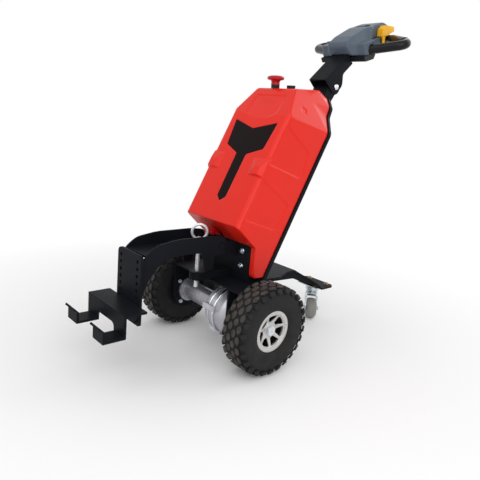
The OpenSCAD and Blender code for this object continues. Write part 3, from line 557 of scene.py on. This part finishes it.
def makeDotShape():
    # staggered rows of small round dots in the X Y plane
    s = Shape("perforations", {
        "columns": 10, "rows": 4, "pitch": 0.0062, "hole radius": 0.0010})
    pitch = s.read("pitch")
    grid = s.add("GeometryNodeMeshGrid", None, {
        "Size X": pitch * (s.read("columns") - 1), "Size Y": pitch * (s.read("rows") - 1),
        "Vertices X": s.read("columns"), "Vertices Y": s.read("rows")})
    place = s.add("GeometryNodeInputPosition")
    row = s.add("ShaderNodeSeparateXYZ", None, {0: place}, "Y") / pitch
    odd = s.maths("ABSOLUTE", s.maths("MODULO", s.maths("ROUND", row + 0.5 + s.read("rows")), 2))
    nudged = s.add("GeometryNodeSetPosition", None, {
        "Geometry": grid, "Offset": s.vector(x=odd * pitch * 0.5)})
    dot = s.add("GeometryNodeMeshCircle", {"fill_type": "NGON"}, {
        "Vertices": 12, "Radius": s.read("hole radius")})
    return s.onPoints(nudged, dot)


def makeCoilShape():
    s = Shape("coil", {
        "turns": 9.0, "coil radius": 0.0072, "coil height": 0.08, "wire radius": 0.0016})
    line = s.add("GeometryNodeCurveSpiral", None, {
        "Resolution": 24, "Rotations": s.read("turns"), "Start Radius": s.read("coil radius"),
        "End Radius": s.read("coil radius"), "Height": s.read("coil height")})
    wire = s.add("GeometryNodeCurvePrimitiveCircle", {"mode": "RADIUS"}, {
        "Resolution": 10, "Radius": s.read("wire radius")})
    tube = s.add("GeometryNodeCurveToMesh", None, {
        "Curve": line, "Profile Curve": wire, "Fill Caps": True})
    return s.close(s.add("GeometryNodeSetShadeSmooth", None, {"Geometry": tube}))


def makeBlockShape():
    # one row of tapered six-sided blocks round an axle along Z
    s = Shape("tread blocks", {
        "count": 26, "phase": 0.0, "side": 0.0, "radius": 0.128, "tilt": 0.0,
        "width": 0.009, "length": 0.013, "tall": 0.007})
    block = s.add("GeometryNodeMeshCone", None, {
        "Vertices": 6, "Radius Top": 0.86, "Radius Bottom": 1.0, "Depth": s.read("tall")})
    sized = s.moved(block, Scale=s.vector(s.read("length"), s.read("width"), 1.0))
    leaned = s.moved(sized, Rotation=s.vector(x=s.read("tilt")))
    stood = s.moved(leaned, Rotation=s.vector(x=math.pi / 2),
                    Translation=s.vector(0.0, -s.read("radius"), s.read("side")))
    line = s.add("GeometryNodeMeshLine", None, {"Count": s.read("count"), "Offset": s.vector()})
    index = s.add("GeometryNodeInputIndex")
    angle = (index + s.read("phase")) * math.tau / s.read("count")
    return s.onPoints(line, stood, Rotation=s.vector(z=angle))


screws, dots, coil, blocks = makeScrewShape(), makeDotShape(), makeCoilShape(), makeBlockShape()


def addScrews(name, body, slotName, groups, sizes, finish=None):
    # groups hold a direction and its places in millimetres; sizes are the head's sides, then
    # radius and height of the head and of the washer, in metres
    labels = ("sides", "head radius", "head height", "washer radius", "washer height")
    values = dict(zip(labels, sizes))
    meshes = [screws.grow(name, finish or slotName, [at(*p) for p in places],
                          direction=direction, **values) for direction, places in groups]
    addPiece(name, joined(name, meshes), body, slotName, finish=finish)


print("shapes ready")


# Wheels: cast rims with seven windows, and tyres with six rows of blocks round a smooth carcass

rim = {    # in millimetres, but for shares and counts
    "place": 213, "windows": 7, "from": 24.5, "to": 47.2, "corner": 4.2, "innerCorner": 0.55,
    "spoke": 2.6, "foot": 3.2, "narrow": 0.75, "hub": 16.5, "outside": 49.2,
    "thick": 5.0, "edge": 0.9, "face": 15.5, "dish": 11.5, "dishFrom": 20, "dishOver": 28,
    "dishCurve": 1.6,
}
rimLip = [(48.5, 20), (48.5, 29), (49.6, 31.6), (52, 32.8), (59.2, 32.9), (61, 32.2), (61.5, 30.8),
          (61.4, 28.4), (60.6, 27.9), (52, 27.9), (51.8, 20), (48.5, 20)]
rimBarrel = [(48.6, 19.9), (48.4, -30), (49.4, -32.4), (52, -33), (60, -33), (61.5, -31.5),
             (61.5, -28.4), (60.6, -28), (52, -28), (51.8, 19.9), (48.6, 19.9)]
rimHub = [(10.2, -29.5), (18.2, -29.5), (18.6, -20), (18.6, 12), (18.6, 16), (17.6, 18),
          (16, 18.6), (13, 18.8), (10.2, 18.8), (10.2, -29.5)]
rimWeb = [(18.6, -6), (48.5, -14), (48.5, -17), (18.6, -9), (18.6, -6)]
tread = {"count": 26, "rows": [    # side, phase, radius, tilt, width, length, height
    (-25.5, 0.0, 127.4, 0, 8.8, 13.2, 3.6), (-8.5, 0.5, 127.9, 0, 8.8, 13.2, 3.9),
    (8.5, 0.0, 127.9, 0, 8.8, 13.2, 3.9), (25.5, 0.5, 127.4, 0, 8.8, 13.2, 3.6),
    (-37.4, 0.5, 119.5, 50, 9.8, 10.5, 5.8), (37.4, 0.0, 119.5, -50, 9.8, 10.5, 5.8)]}
carcass = [(52.6, -27.4), (62.2, -27.6), (62.4, -34), (66, -37.5), (71, -40.5), (80, -42),
           (96, -42.3), (106, -41.6), (114, -39.3), (121, -34.5), (125.6, -28), (127.6, -18),
           (128, -8)]


def windowOutline():
    # one window between two spokes, wide outside and rounded at every corner
    half = math.pi / rim["windows"]
    inner, outer, corner = rim["from"], rim["to"], rim["corner"]
    small = corner * rim["innerCorner"]
    angleIn = (half - math.asin(rim["foot"] / inner)) * rim["narrow"]
    angleOut = half - math.asin(rim["spoke"] / outer)
    arc = [(outer, -angleOut + 2 * angleOut * k / 10) for k in range(11)]
    path = [(inner, -angleIn)] + arc + [(inner, angleIn)]
    flat = [Vector((r * math.sin(a), r * math.cos(a))) for r, a in path]
    last = len(flat) - 1
    turns = {0: (last, 1, small), 1: (0, 3, corner),
             last - 1: (last - 3, last, corner), last: (last - 1, 0, small)}
    points = []
    for k, here in enumerate(flat):
        if k in turns:
            before, after, cut = turns[k]
            start = here + (flat[before] - here).normalized() * cut
            end = here + (flat[after] - here).normalized() * cut
            points += [start * (1 - t) ** 2 + here * 2 * t * (1 - t) + end * t * t
                       for t in (0, 0.25, 0.5, 0.75, 1)]
        elif 2 < k < last - 2:
            points.append(here)
    return points


def makeSpokeFace(name):
    # flat face with its windows, rounded along them, then dished towards the hub
    edge = rim["edge"] / 1000
    flat = bpy.data.curves.new(name, "CURVE")
    flat.dimensions, flat.fill_mode = "2D", "BOTH"
    flat.extrude, flat.bevel_depth, flat.bevel_resolution = rim["thick"] / 2000 - edge, edge, 2
    outlines = [[Vector((r * math.sin(a), r * math.cos(a))) for a in around(126)]
                for r in (rim["outside"], rim["hub"])]
    window = windowOutline()
    for angle in around(rim["windows"]):
        turn = Matrix.Rotation(angle, 2)
        outlines.append([turn @ p for p in window])
    for points in outlines:
        spline = flat.splines.new("POLY")
        spline.points.add(len(points) - 1)
        for spot, p in zip(spline.points, points):
            spot.co = (p.x / 1000, p.y / 1000, 0, 1)
        spline.use_cyclic_u = True
    bm = mergedFrom(plainMesh(held(name, flat)))
    for v in bm.verts:
        out = (v.co.to_2d().length * 1000 - rim["dishFrom"]) / rim["dishOver"]
        rise = min(max(out, 0), 1) ** rim["dishCurve"]
        v.co.z += (rim["face"] + rim["dish"] * rise) / 1000
    return smoothMesh(bm, name, 40)


def onWheel(mesh, side):
    # from the wheel's own frame, with its axle along Z, to its place; the left one is mirrored
    mesh.transform(facing(at(rim["place"], 0, spots["axleUp"]), (1, 0, 0)))
    if side < 0:
        mesh.transform(Matrix.Diagonal((-1, 1, 1, 1)))
        mesh.flip_normals()
    return mesh


def makeWheel(word, side):
    body = word + "_wheel"
    middle = Matrix()
    face = joined(word + "_rim_face", [
        makeSpokeFace("spokes"), turnedMesh("lip", rimLip, middle, 96),
        turnedMesh("hub", rimHub, middle, 64)])
    addPiece(word + "_rim_face", onWheel(face, side), body, "rim", word + "_rim")
    # the barrel and web behind the windows are painted near black: painted shade inside the rim,
    # whose barrel is the same silver casting
    inside = joined(word + "_rim_barrel", [
        turnedMesh("barrel", rimBarrel, middle, 96), turnedMesh("web", rimWeb, middle, 64)])
    addPiece(word + "_rim_barrel", onWheel(inside, side), body, "rim", finish="rim_dark")
    section = carcass + [(r, -z) for r, z in reversed(carcass)] + [carcass[0]]
    rows = [blocks.grow("row", "tyre", count=tread["count"], phase=phase, side=place / 1000,
                        radius=radius / 1000, tilt=math.radians(tilt), width=width / 1000,
                        length=length / 1000, tall=tall / 1000)
            for place, phase, radius, tilt, width, length, tall in tread["rows"]]
    tyre = joined(word + "_tyre_blocks", [turnedMesh("carcass", section, middle, 120)] + rows)
    addPiece(word + "_tyre_blocks", onWheel(tyre, side), body, "tyre", word + "_tyre")


makeWheel("left", -1)
makeWheel("right", 1)
print("wheels ready")

# Cover: its nose has small dots, and its shell is cast again with a mould's soft edges

noseDots = {"side": -6, "depth": 2.25, "up": 51}    # in millimetres of the nose panel
# Lengths in metres, but the backing in millimetres; inwards and backFacing are cosines
coverMould = {"voxel": 0.0016, "smoothing": 13, "keep": 0.28, "backing": 3.2,
              "backedAbove": 0.352, "heartDepth": 0.09, "heartFrom": 0.06, "heartTo": 0.47,
              "inwards": 0.25, "backFacing": 0.95}


def makeNoseDots():
    # the perforations are flat dark red discs, not holes: painted shade inside the holes
    mesh = dots.grow("perforations", "stop_red")
    place = Vector((noseDots["side"], noseDots["depth"], noseDots["up"])) / 1000
    mesh.transform(nosePanel @ Matrix.Translation(place) @ Matrix.Rotation(math.pi / 2, 4, "X"))
    addPiece("nose_perforations", mesh, "chassis", "stop_red")


def backWalls(bm, mould):
    # inner walls of the hollow cover move inwards, to leave something behind its pressed panels
    back = column.inverted()
    inner = {}
    for face in bm.faces:
        centre = face.calc_center_median()
        up = min(max((back @ centre).z, mould["heartFrom"]), mould["heartTo"])
        toHeart = (column @ Vector((0, mould["heartDepth"], up)) - centre).normalized()
        inner[face] = face.normal.dot(toHeart) > mould["inwards"]
    moves = {}
    for v in bm.verts:
        faces = [f for f in v.link_faces if inner[f]]
        rims = [f for f in v.link_faces
                if not inner[f] and (back.to_3x3() @ f.normal).y < mould["backFacing"]]
        if faces and not rims and v.co.z > mould["backedAbove"]:
            along = Vector((0, 0, 0))
            for normal in {tuple(round(c, 2) for c in f.normal) for f in faces}:
                along += Vector(normal)
            moves[v] = along
    for v, along in moves.items():
        v.co += along * mould["backing"] / 1000


def castAgain(name, mould):
    # a copy of a moulded piece whose edges are rounded as a mould's are
    bm = mergedFrom(nodes[name].data)
    if "backing" in mould:
        backWalls(bm, mould)
    mesh = bpy.data.meshes.new(name + " work")
    bm.to_mesh(mesh)
    bm.free()
    work = held(name + " work", mesh)
    remesh = work.modifiers.new("mould", "REMESH")
    remesh.mode, remesh.voxel_size, remesh.use_smooth_shade = "VOXEL", mould["voxel"], True
    soften = work.modifiers.new("soften", "SMOOTH")
    soften.factor, soften.iterations = 0.5, mould["smoothing"]
    if "keep" in mould:
        work.modifiers.new("fewer", "DECIMATE").ratio = mould["keep"]
    cast = plainMesh(work)
    cast.shade_smooth()
    print(name, "cast again,", len(cast.polygons), "faces")
    return cast


makeNoseDots()
addPiece("cover_casting", castAgain("cover", coverMould), "chassis", "cover_red", "cover")

# Hitch

armSpring = {"y": -44, "low": 252.3, "high": 333.7, "wire": 1.6}    # in millimetres


def makeSpring():
    low, high = armSpring["low"] + armSpring["wire"], armSpring["high"] - armSpring["wire"]
    mesh = coil.grow("arm_coil", "spring", **{
        "coil height": (high - low) / 1000, "wire radius": armSpring["wire"] / 1000})
    mesh.transform(Matrix.Translation(at(0, armSpring["y"], low)))
    addPiece("arm_coil", mesh, "chassis", "spring", "arm_spring")


makeSpring()

# Tiller: its pin, and its head, which is cast again as one soft moulded form

hingePin = [(0, -40.2), (4, -40.0), (7.5, -38.8), (9.4, -36.6), (10, -34.5), (6, -34.4),
            (6, 34.4), (10, 34.5), (9.4, 36.6), (7.5, 38.8), (4, 40.0), (0, 40.2)]
# Both in the head's frame: the mould in metres, the pods in millimetres
headMould = {"voxel": 0.0021, "smoothing": 10, "wingSide": (0.036, 0.056),
             "wingDepth": (0.085, 0.045), "bars": 0.0165, "sink": 0.72}
headPods = {"side": (40, 56), "depth": (48, 116), "height": (-2, 21), "edge": 4,
            "lidIn": (1.5, 4, -3), "lidOut": (-1.5, -3, 1), "lidEdge": 0.8}
headPanel = [    # centre, half sizes and height of each oval plate
    ((-3, 100, 54), (31, 12), 6.5), ((17, 100, 58), (9.5, 9.5), 4.6)]


def makeHingePin():
    mesh = turnedMesh("hinge_pin_turned", hingePin, facing(at(*spots["hinge"]), (1, 0, 0)))
    addPiece("hinge_pin_turned", mesh, "tiller", "zinc", "hinge_pin", finish="chrome")


def makeHeadShell():
    # the wings sink to the bars, and the ridge between them stays
    cast = castAgain("head_shell", headMould)
    back = headFrame.inverted()
    bars = headMould["bars"]
    for v in cast.vertices:
        p = back @ v.co
        wing = (smoothStep(abs(p.x), *headMould["wingSide"])
                * smoothStep(p.y, *headMould["wingDepth"]))
        if p.z > bars:
            p.z = bars + (p.z - bars) * (1 - headMould["sink"] * wing)
        v.co = headFrame @ p
    cast.update()
    addPiece("head_casting", cast, "tiller", "slate", "head_shell")


def makeHeadDetails():
    pods, lids = [], []
    for way in (-1, 1):
        side = sorted(way * x for x in headPods["side"])
        low, high = zip(side, headPods["depth"], headPods["height"])
        pods.append(roundedBlock(low, high, headFrame, headPods["edge"]))
        lidLow = [a + b for a, b in zip((low[0], low[1], high[2]), headPods["lidIn"])]
        lidHigh = [a + b for a, b in zip(high, headPods["lidOut"])]
        lids.append(roundedBlock(lidLow, lidHigh, headFrame, headPods["lidEdge"]))
    addPiece("head_pods", joined("head_pods", pods), "tiller", "slate")
    addPiece("head_pod_lids", joined("head_pod_lids", lids), "tiller", "small_black")
    plates = [ovalPlate(*plate, headFrame) for plate in headPanel]
    addPiece("head_panel", joined("head_panel", plates), "tiller", "small_black")


makeHingePin()
makeHeadShell()
makeHeadDetails()

# Chassis and axle: bolts, and the gear housing, a turned drum with two joint rings, lugs along
# it and the motor's cast seat behind

frontBolts = {"side": 70, "front": 18, "top": 320, "pitch": 47,
              "sizes": (6, 0.0068, 0.005, 0.009, 0.0012)}
hangerBolts = {"faces": (-154.3, 114.3), "ring": 50, "degrees": (40, 140, 232, 308),
               "sizes": (24, 0.0052, 0.0045, 0.0068, 0.001)}
housing = {
    "lugs": (4, 76, 148, 220, 292), "lugFrom": 20, "lugTo": 74, "lugIn": 58, "lugOut": 80,
    "lugWide": 17, "lugEdge": 2.2, "screwFace": 19.7, "screwOut": 73.5,
    "screws": (6, 0.0038, 0.0035, 0.0054, 0.0008),
    "drum": [(10, 4), (38, 4), (40, 8), (44, 12), (58, 14), (62, 15.5), (64, 19), (65.5, 36),
             (69.6, 36.4), (70.4, 37.4), (70.4, 39.8), (69.6, 40.8), (68.6, 41), (71, 62),
             (74.6, 62.4), (75.6, 63.6), (75.6, 68.4), (74.6, 69.6), (71, 70), (70, 92),
             (66, 97), (56, 107.6), (10, 107.6), (10, 4)],
    "rings": [[(67, 37), (70.8, 37), (71.6, 37.8), (71.6, 39.6), (70.8, 40.4), (67, 40.4),
               (67, 37)],
              [(72, 63.2), (76, 63.2), (76.8, 64), (76.8, 68), (76, 68.8), (72, 68.8),
               (72, 63.2)]],
    "seat": [(20, 10.2), (50.5, 10.2), (52, 12), (52, 97), (49, 100), (20, 100), (20, 10.2)],
    "seatPlace": (0, 90, 150),
    "web": ((24, 10, -12), (94, 90, 54)), "webEdge": 3,    # up from the axle
}


def makeChassisScrews():
    places = [(side * frontBolts["side"], frontBolts["front"],
               frontBolts["top"] - row * frontBolts["pitch"]) for side in (-1, 1) for row in (0, 1)]
    addScrews("front_plate_bolts", "chassis", "zinc", [((0, -1, 0), places)], frontBolts["sizes"])
    groups = [((1, 0, 0), [(face, hangerBolts["ring"] * math.cos(a),
                            spots["axleUp"] + hangerBolts["ring"] * math.sin(a))
                           for a in map(math.radians, hangerBolts["degrees"])])
              for face in hangerBolts["faces"]]
    addScrews("hanger_bolts", "chassis", "zinc", groups, hangerBolts["sizes"])
    ears = [(housing["screwFace"], -housing["screwOut"] * math.sin(a),
             spots["axleUp"] + housing["screwOut"] * math.cos(a))
            for a in map(math.radians, housing["lugs"])]
    addScrews("housing_screws", "chassis", "zinc", [((-1, 0, 0), ears)], housing["screws"])


def makeHousing():
    middle = Matrix.Translation(at(0, 0, spots["axleUp"]))
    parts = [turnedMesh("drum", housing["drum"], axleFrame, 96),
             turnedMesh("motor seat", housing["seat"],
                        facing(at(*housing["seatPlace"]), (1, 0, 0)), 64)]
    half = housing["lugWide"] / 2
    for degrees in housing["lugs"]:
        turn = Matrix.Rotation(math.radians(degrees), 4, "X")
        parts.append(roundedBlock((housing["lugFrom"], -half, housing["lugIn"]),
                                  (housing["lugTo"], half, housing["lugOut"]),
                                  middle @ turn, housing["lugEdge"]))
    parts.append(roundedBlock(*housing["web"], middle, housing["webEdge"]))
    addPiece("housing_casting", joined("housing_casting", parts), "chassis", "aluminium",
             "gear_housing")
    rings = [turnedMesh("ring", profile, axleFrame, 96) for profile in housing["rings"]]
    addPiece("housing_rings", joined("housing_rings", rings), "chassis", "aluminium",
             finish="chrome")


makeChassisScrews()
makeHousing()

# Thumb levers: rounded, with a finger hanging from each

lever = {"voxel": 0.0012, "smoothing": 7, "heldAt": 0.110, "shorter": 0.90,
         "finger": [(114, 26), (132, 24), (129, 12), (124, -2), (120, -10), (116.5, -10),
                    (117, 0), (116, 10)], "fingerSide": (59, 66.5), "fingerEdge": 1.6}


def makeLevers():
    cast = castAgain("thumb_levers", lever)
    back = headFrame.inverted()
    for v in cast.vertices:
        p = back @ v.co
        p.y = lever["heldAt"] + (p.y - lever["heldAt"]) * lever["shorter"]
        v.co = headFrame @ p
    fingers = [plateMesh(lever["finger"], *sorted(way * x for x in lever["fingerSide"]),
                         headFrame, lever["fingerEdge"]) for way in (-1, 1)]
    addPiece("lever_casting", joined("lever_casting", [cast] + fingers), "tiller", "yellow",
             "thumb_levers")


makeLevers()

# Caster: bolts and a race on its plate, and a fork pressed from one strip

casterBolts = {"side": 40, "apart": 29, "top": 131, "sizes": (6, 0.0065, 0.0045, 0.0085, 0.0012)}
plateRace = [(0, 115.2), (22.6, 115.2), (24.2, 116.4), (25, 118.2), (24.6, 120), (23, 121.6),
             (24, 121.9), (0, 121.9)]
fork = {"turn": 47, "trail": 24, "axle": 37.5, "side": 21.5, "crown": 84.5, "bend": 7, "half": 22,
        "eye": 11.5, "thick": 3.0, "across": 4, "eyeDegrees": (84, 72, 60, 48, 36, 24, 12, 0),
        "legShares": (0.25, 0.5, 0.75, 0.9, 1), "bendDegrees": (18, 36, 54, 72, 90)}
forkRace = [(0, 85.5), (17, 85.5), (21, 87), (23, 90), (23.2, 94), (20.4, 97.4), (17.2, 98.6),
            (17.2, 101.4), (22.4, 102.2), (25, 105), (25.2, 111.6), (24.4, 115.1), (0, 115.1)]


def makeCasterDetails():
    b = casterBolts
    places = [(side * b["side"], spots["swivelBack"] + way * b["apart"], b["top"])
              for way in (-1, 1) for side in (-1, 1)]
    addScrews("caster_bolts", "chassis", "zinc", [((0, 0, 1), places)], b["sizes"],
              finish="yellow_zinc")
    mesh = turnedMesh("swivel_race", plateRace,
                      Matrix.Translation(at(0, spots["swivelBack"], 0)))
    addPiece("swivel_race", mesh, "chassis", "zinc", finish="chrome")


def forkStrip():
    # side place, height and the strip's two edges: up one leg, over the wheel, down the other
    side, crown, bend, half, axleUp, trail, eye = (
        fork[k] for k in ("side", "crown", "bend", "half", "axle", "trail", "eye"))
    leg = []
    for a in map(math.radians, fork["eyeDegrees"]):
        leg.append((side, axleUp - eye * math.sin(a), -trail - eye * math.cos(a),
                    -trail + eye * math.cos(a)))
    top = crown - bend
    for share in fork["legShares"]:
        eased = smoothStep(share, -0.3, 1)
        leg.append((side, axleUp + (top - axleUp) * share,
                    -trail - eye + (trail + eye - half) * eased,
                    -trail + eye + (trail - eye + half) * eased))
    for a in map(math.radians, fork["bendDegrees"]):
        leg.append((side - bend + bend * math.cos(a), top + bend * math.sin(a), -half, half))
    return leg + [(-x, z, y0, y1) for x, z, y0, y1 in reversed(leg)]


def makeFork():
    swivel = (Matrix.Translation(at(0, spots["swivelBack"], 0))
              @ Matrix.Rotation(math.radians(fork["turn"]), 4, "Z"))
    bm = bmesh.new()
    across = fork["across"]
    rows = [[bm.verts.new(Vector((x, y0 + (y1 - y0) * k / across, z)) / 1000)
             for k in range(across + 1)] for x, z, y0, y1 in forkStrip()]
    faces = [bm.faces.new((a[k], a[k + 1], b[k + 1], b[k]))
             for a, b in zip(rows, rows[1:]) for k in range(across)]
    bmesh.ops.recalc_face_normals(bm, faces=faces)
    bmesh.ops.solidify(bm, geom=bm.faces[:], thickness=fork["thick"] / 1000)
    bmesh.ops.transform(bm, matrix=swivel, verts=bm.verts)
    parts = [smoothMesh(bm, "fork", 40), turnedMesh("race", forkRace, swivel, 64)]
    addPiece("fork_pressing", joined("fork_pressing", parts), "caster_swivel", "zinc",
             "caster_fork")


makeCasterDetails()
makeFork()
print("details ready")


# Floor, light and camera

studio = {"floorSize": 12.0, "whiteFrom": 0.55, "whiteTo": 1.3, "floorTone": 0.94,
          "worldStrength": 0.62}
lamps = {    # place, aim, size and power
    "key light": ((1.95, -1.25, 1.8), (0, 0, 0.5), (2.4, 2.2), 30),
    "fill light": ((-0.2, -1.9, 2.6), (0, 0, 0.5), (2.0, 2.0), 12),
    "rim light": ((0.4, 2.2, 2.0), (0, 0, 0.6), (3.0, 2.0), 20),
}
view = {"azimuth": 47.03, "elevation": 13.68, "roll": 5.45, "distance": 1.5668,
        "target": (0, -0.0302, 0.3309), "lens": 37.395, "sensor": 36, "nearest": 0.05}


def makeFloor():
    # a pale floor that keeps the object's shadow and turns white away from it
    bpy.ops.mesh.primitive_plane_add(size=studio["floorSize"])
    floor = bpy.context.object
    floor.name = "studio floor"
    f = Finish("studio floor", color=(studio["floorTone"],) * 3, rough=0.9, specular=0.1)
    where = f.place()
    distance = f.maths("SQRT", f.axis(where, "X") ** 2 + f.axis(where, "Y") ** 2)
    share = f.spread(distance, studio["whiteFrom"], studio["whiteTo"]) * f.seenRays()
    white = f.add("ShaderNodeEmission", None, {"Color": (1, 1, 1, 1), "Strength": 1.0})
    both = f.add("ShaderNodeMixShader", None, {
        0: share, 1: Wire(f, f.surface.outputs[0]), 2: white})
    f.feed(f.end.inputs["Surface"], both)
    floor.data.materials.append(f.material)


def makeWorld():
    world = bpy.data.worlds.new("studio")
    world.use_nodes = True
    world.node_tree.nodes.clear()
    bpy.context.scene.world = world
    b = Board(world.node_tree)
    plain = studio["worldStrength"]
    light = b.add("ShaderNodeBackground", None, {
        "Color": (1, 1, 1, 1), "Strength": plain + b.seenRays() * (1 - plain)})
    b.node("ShaderNodeOutputWorld", None, {"Surface": light})


def makeLamp(name, place, aim, size, power):
    lamp = bpy.data.lights.new(name, "AREA")
    lamp.shape = "RECTANGLE"
    lamp.size, lamp.size_y = size
    lamp.energy = power
    holder = held(name, lamp)
    holder.location = place
    turn = (Vector(aim) - Vector(place)).to_track_quat("-Z", "Y")
    holder.rotation_euler = turn.to_euler()


def makeCamera():
    az, el, roll = (math.radians(view[k]) for k in ("azimuth", "elevation", "roll"))
    back = Vector((math.sin(az) * math.cos(el), -math.cos(az) * math.cos(el), math.sin(el)))
    right = Vector((math.cos(az), math.sin(az), 0))
    up = back.cross(right)
    turnedRight = right * math.cos(roll) + up * math.sin(roll)
    turnedUp = up * math.cos(roll) - right * math.sin(roll)
    cam = bpy.data.cameras.new("camera")
    cam.lens, cam.sensor_width, cam.clip_start = view["lens"], view["sensor"], view["nearest"]
    holder = held("camera", cam)
    pose = Matrix((turnedRight, turnedUp, back)).transposed().to_4x4()
    pose.translation = Vector(view["target"]) + back * view["distance"]
    holder.matrix_world = pose
    bpy.context.scene.camera = holder


makeFloor()
makeWorld()
for name, values in lamps.items():
    makeLamp(name, *values)
makeCamera()
bpy.context.scene.view_settings.view_transform = "Standard"
print("studio ready")
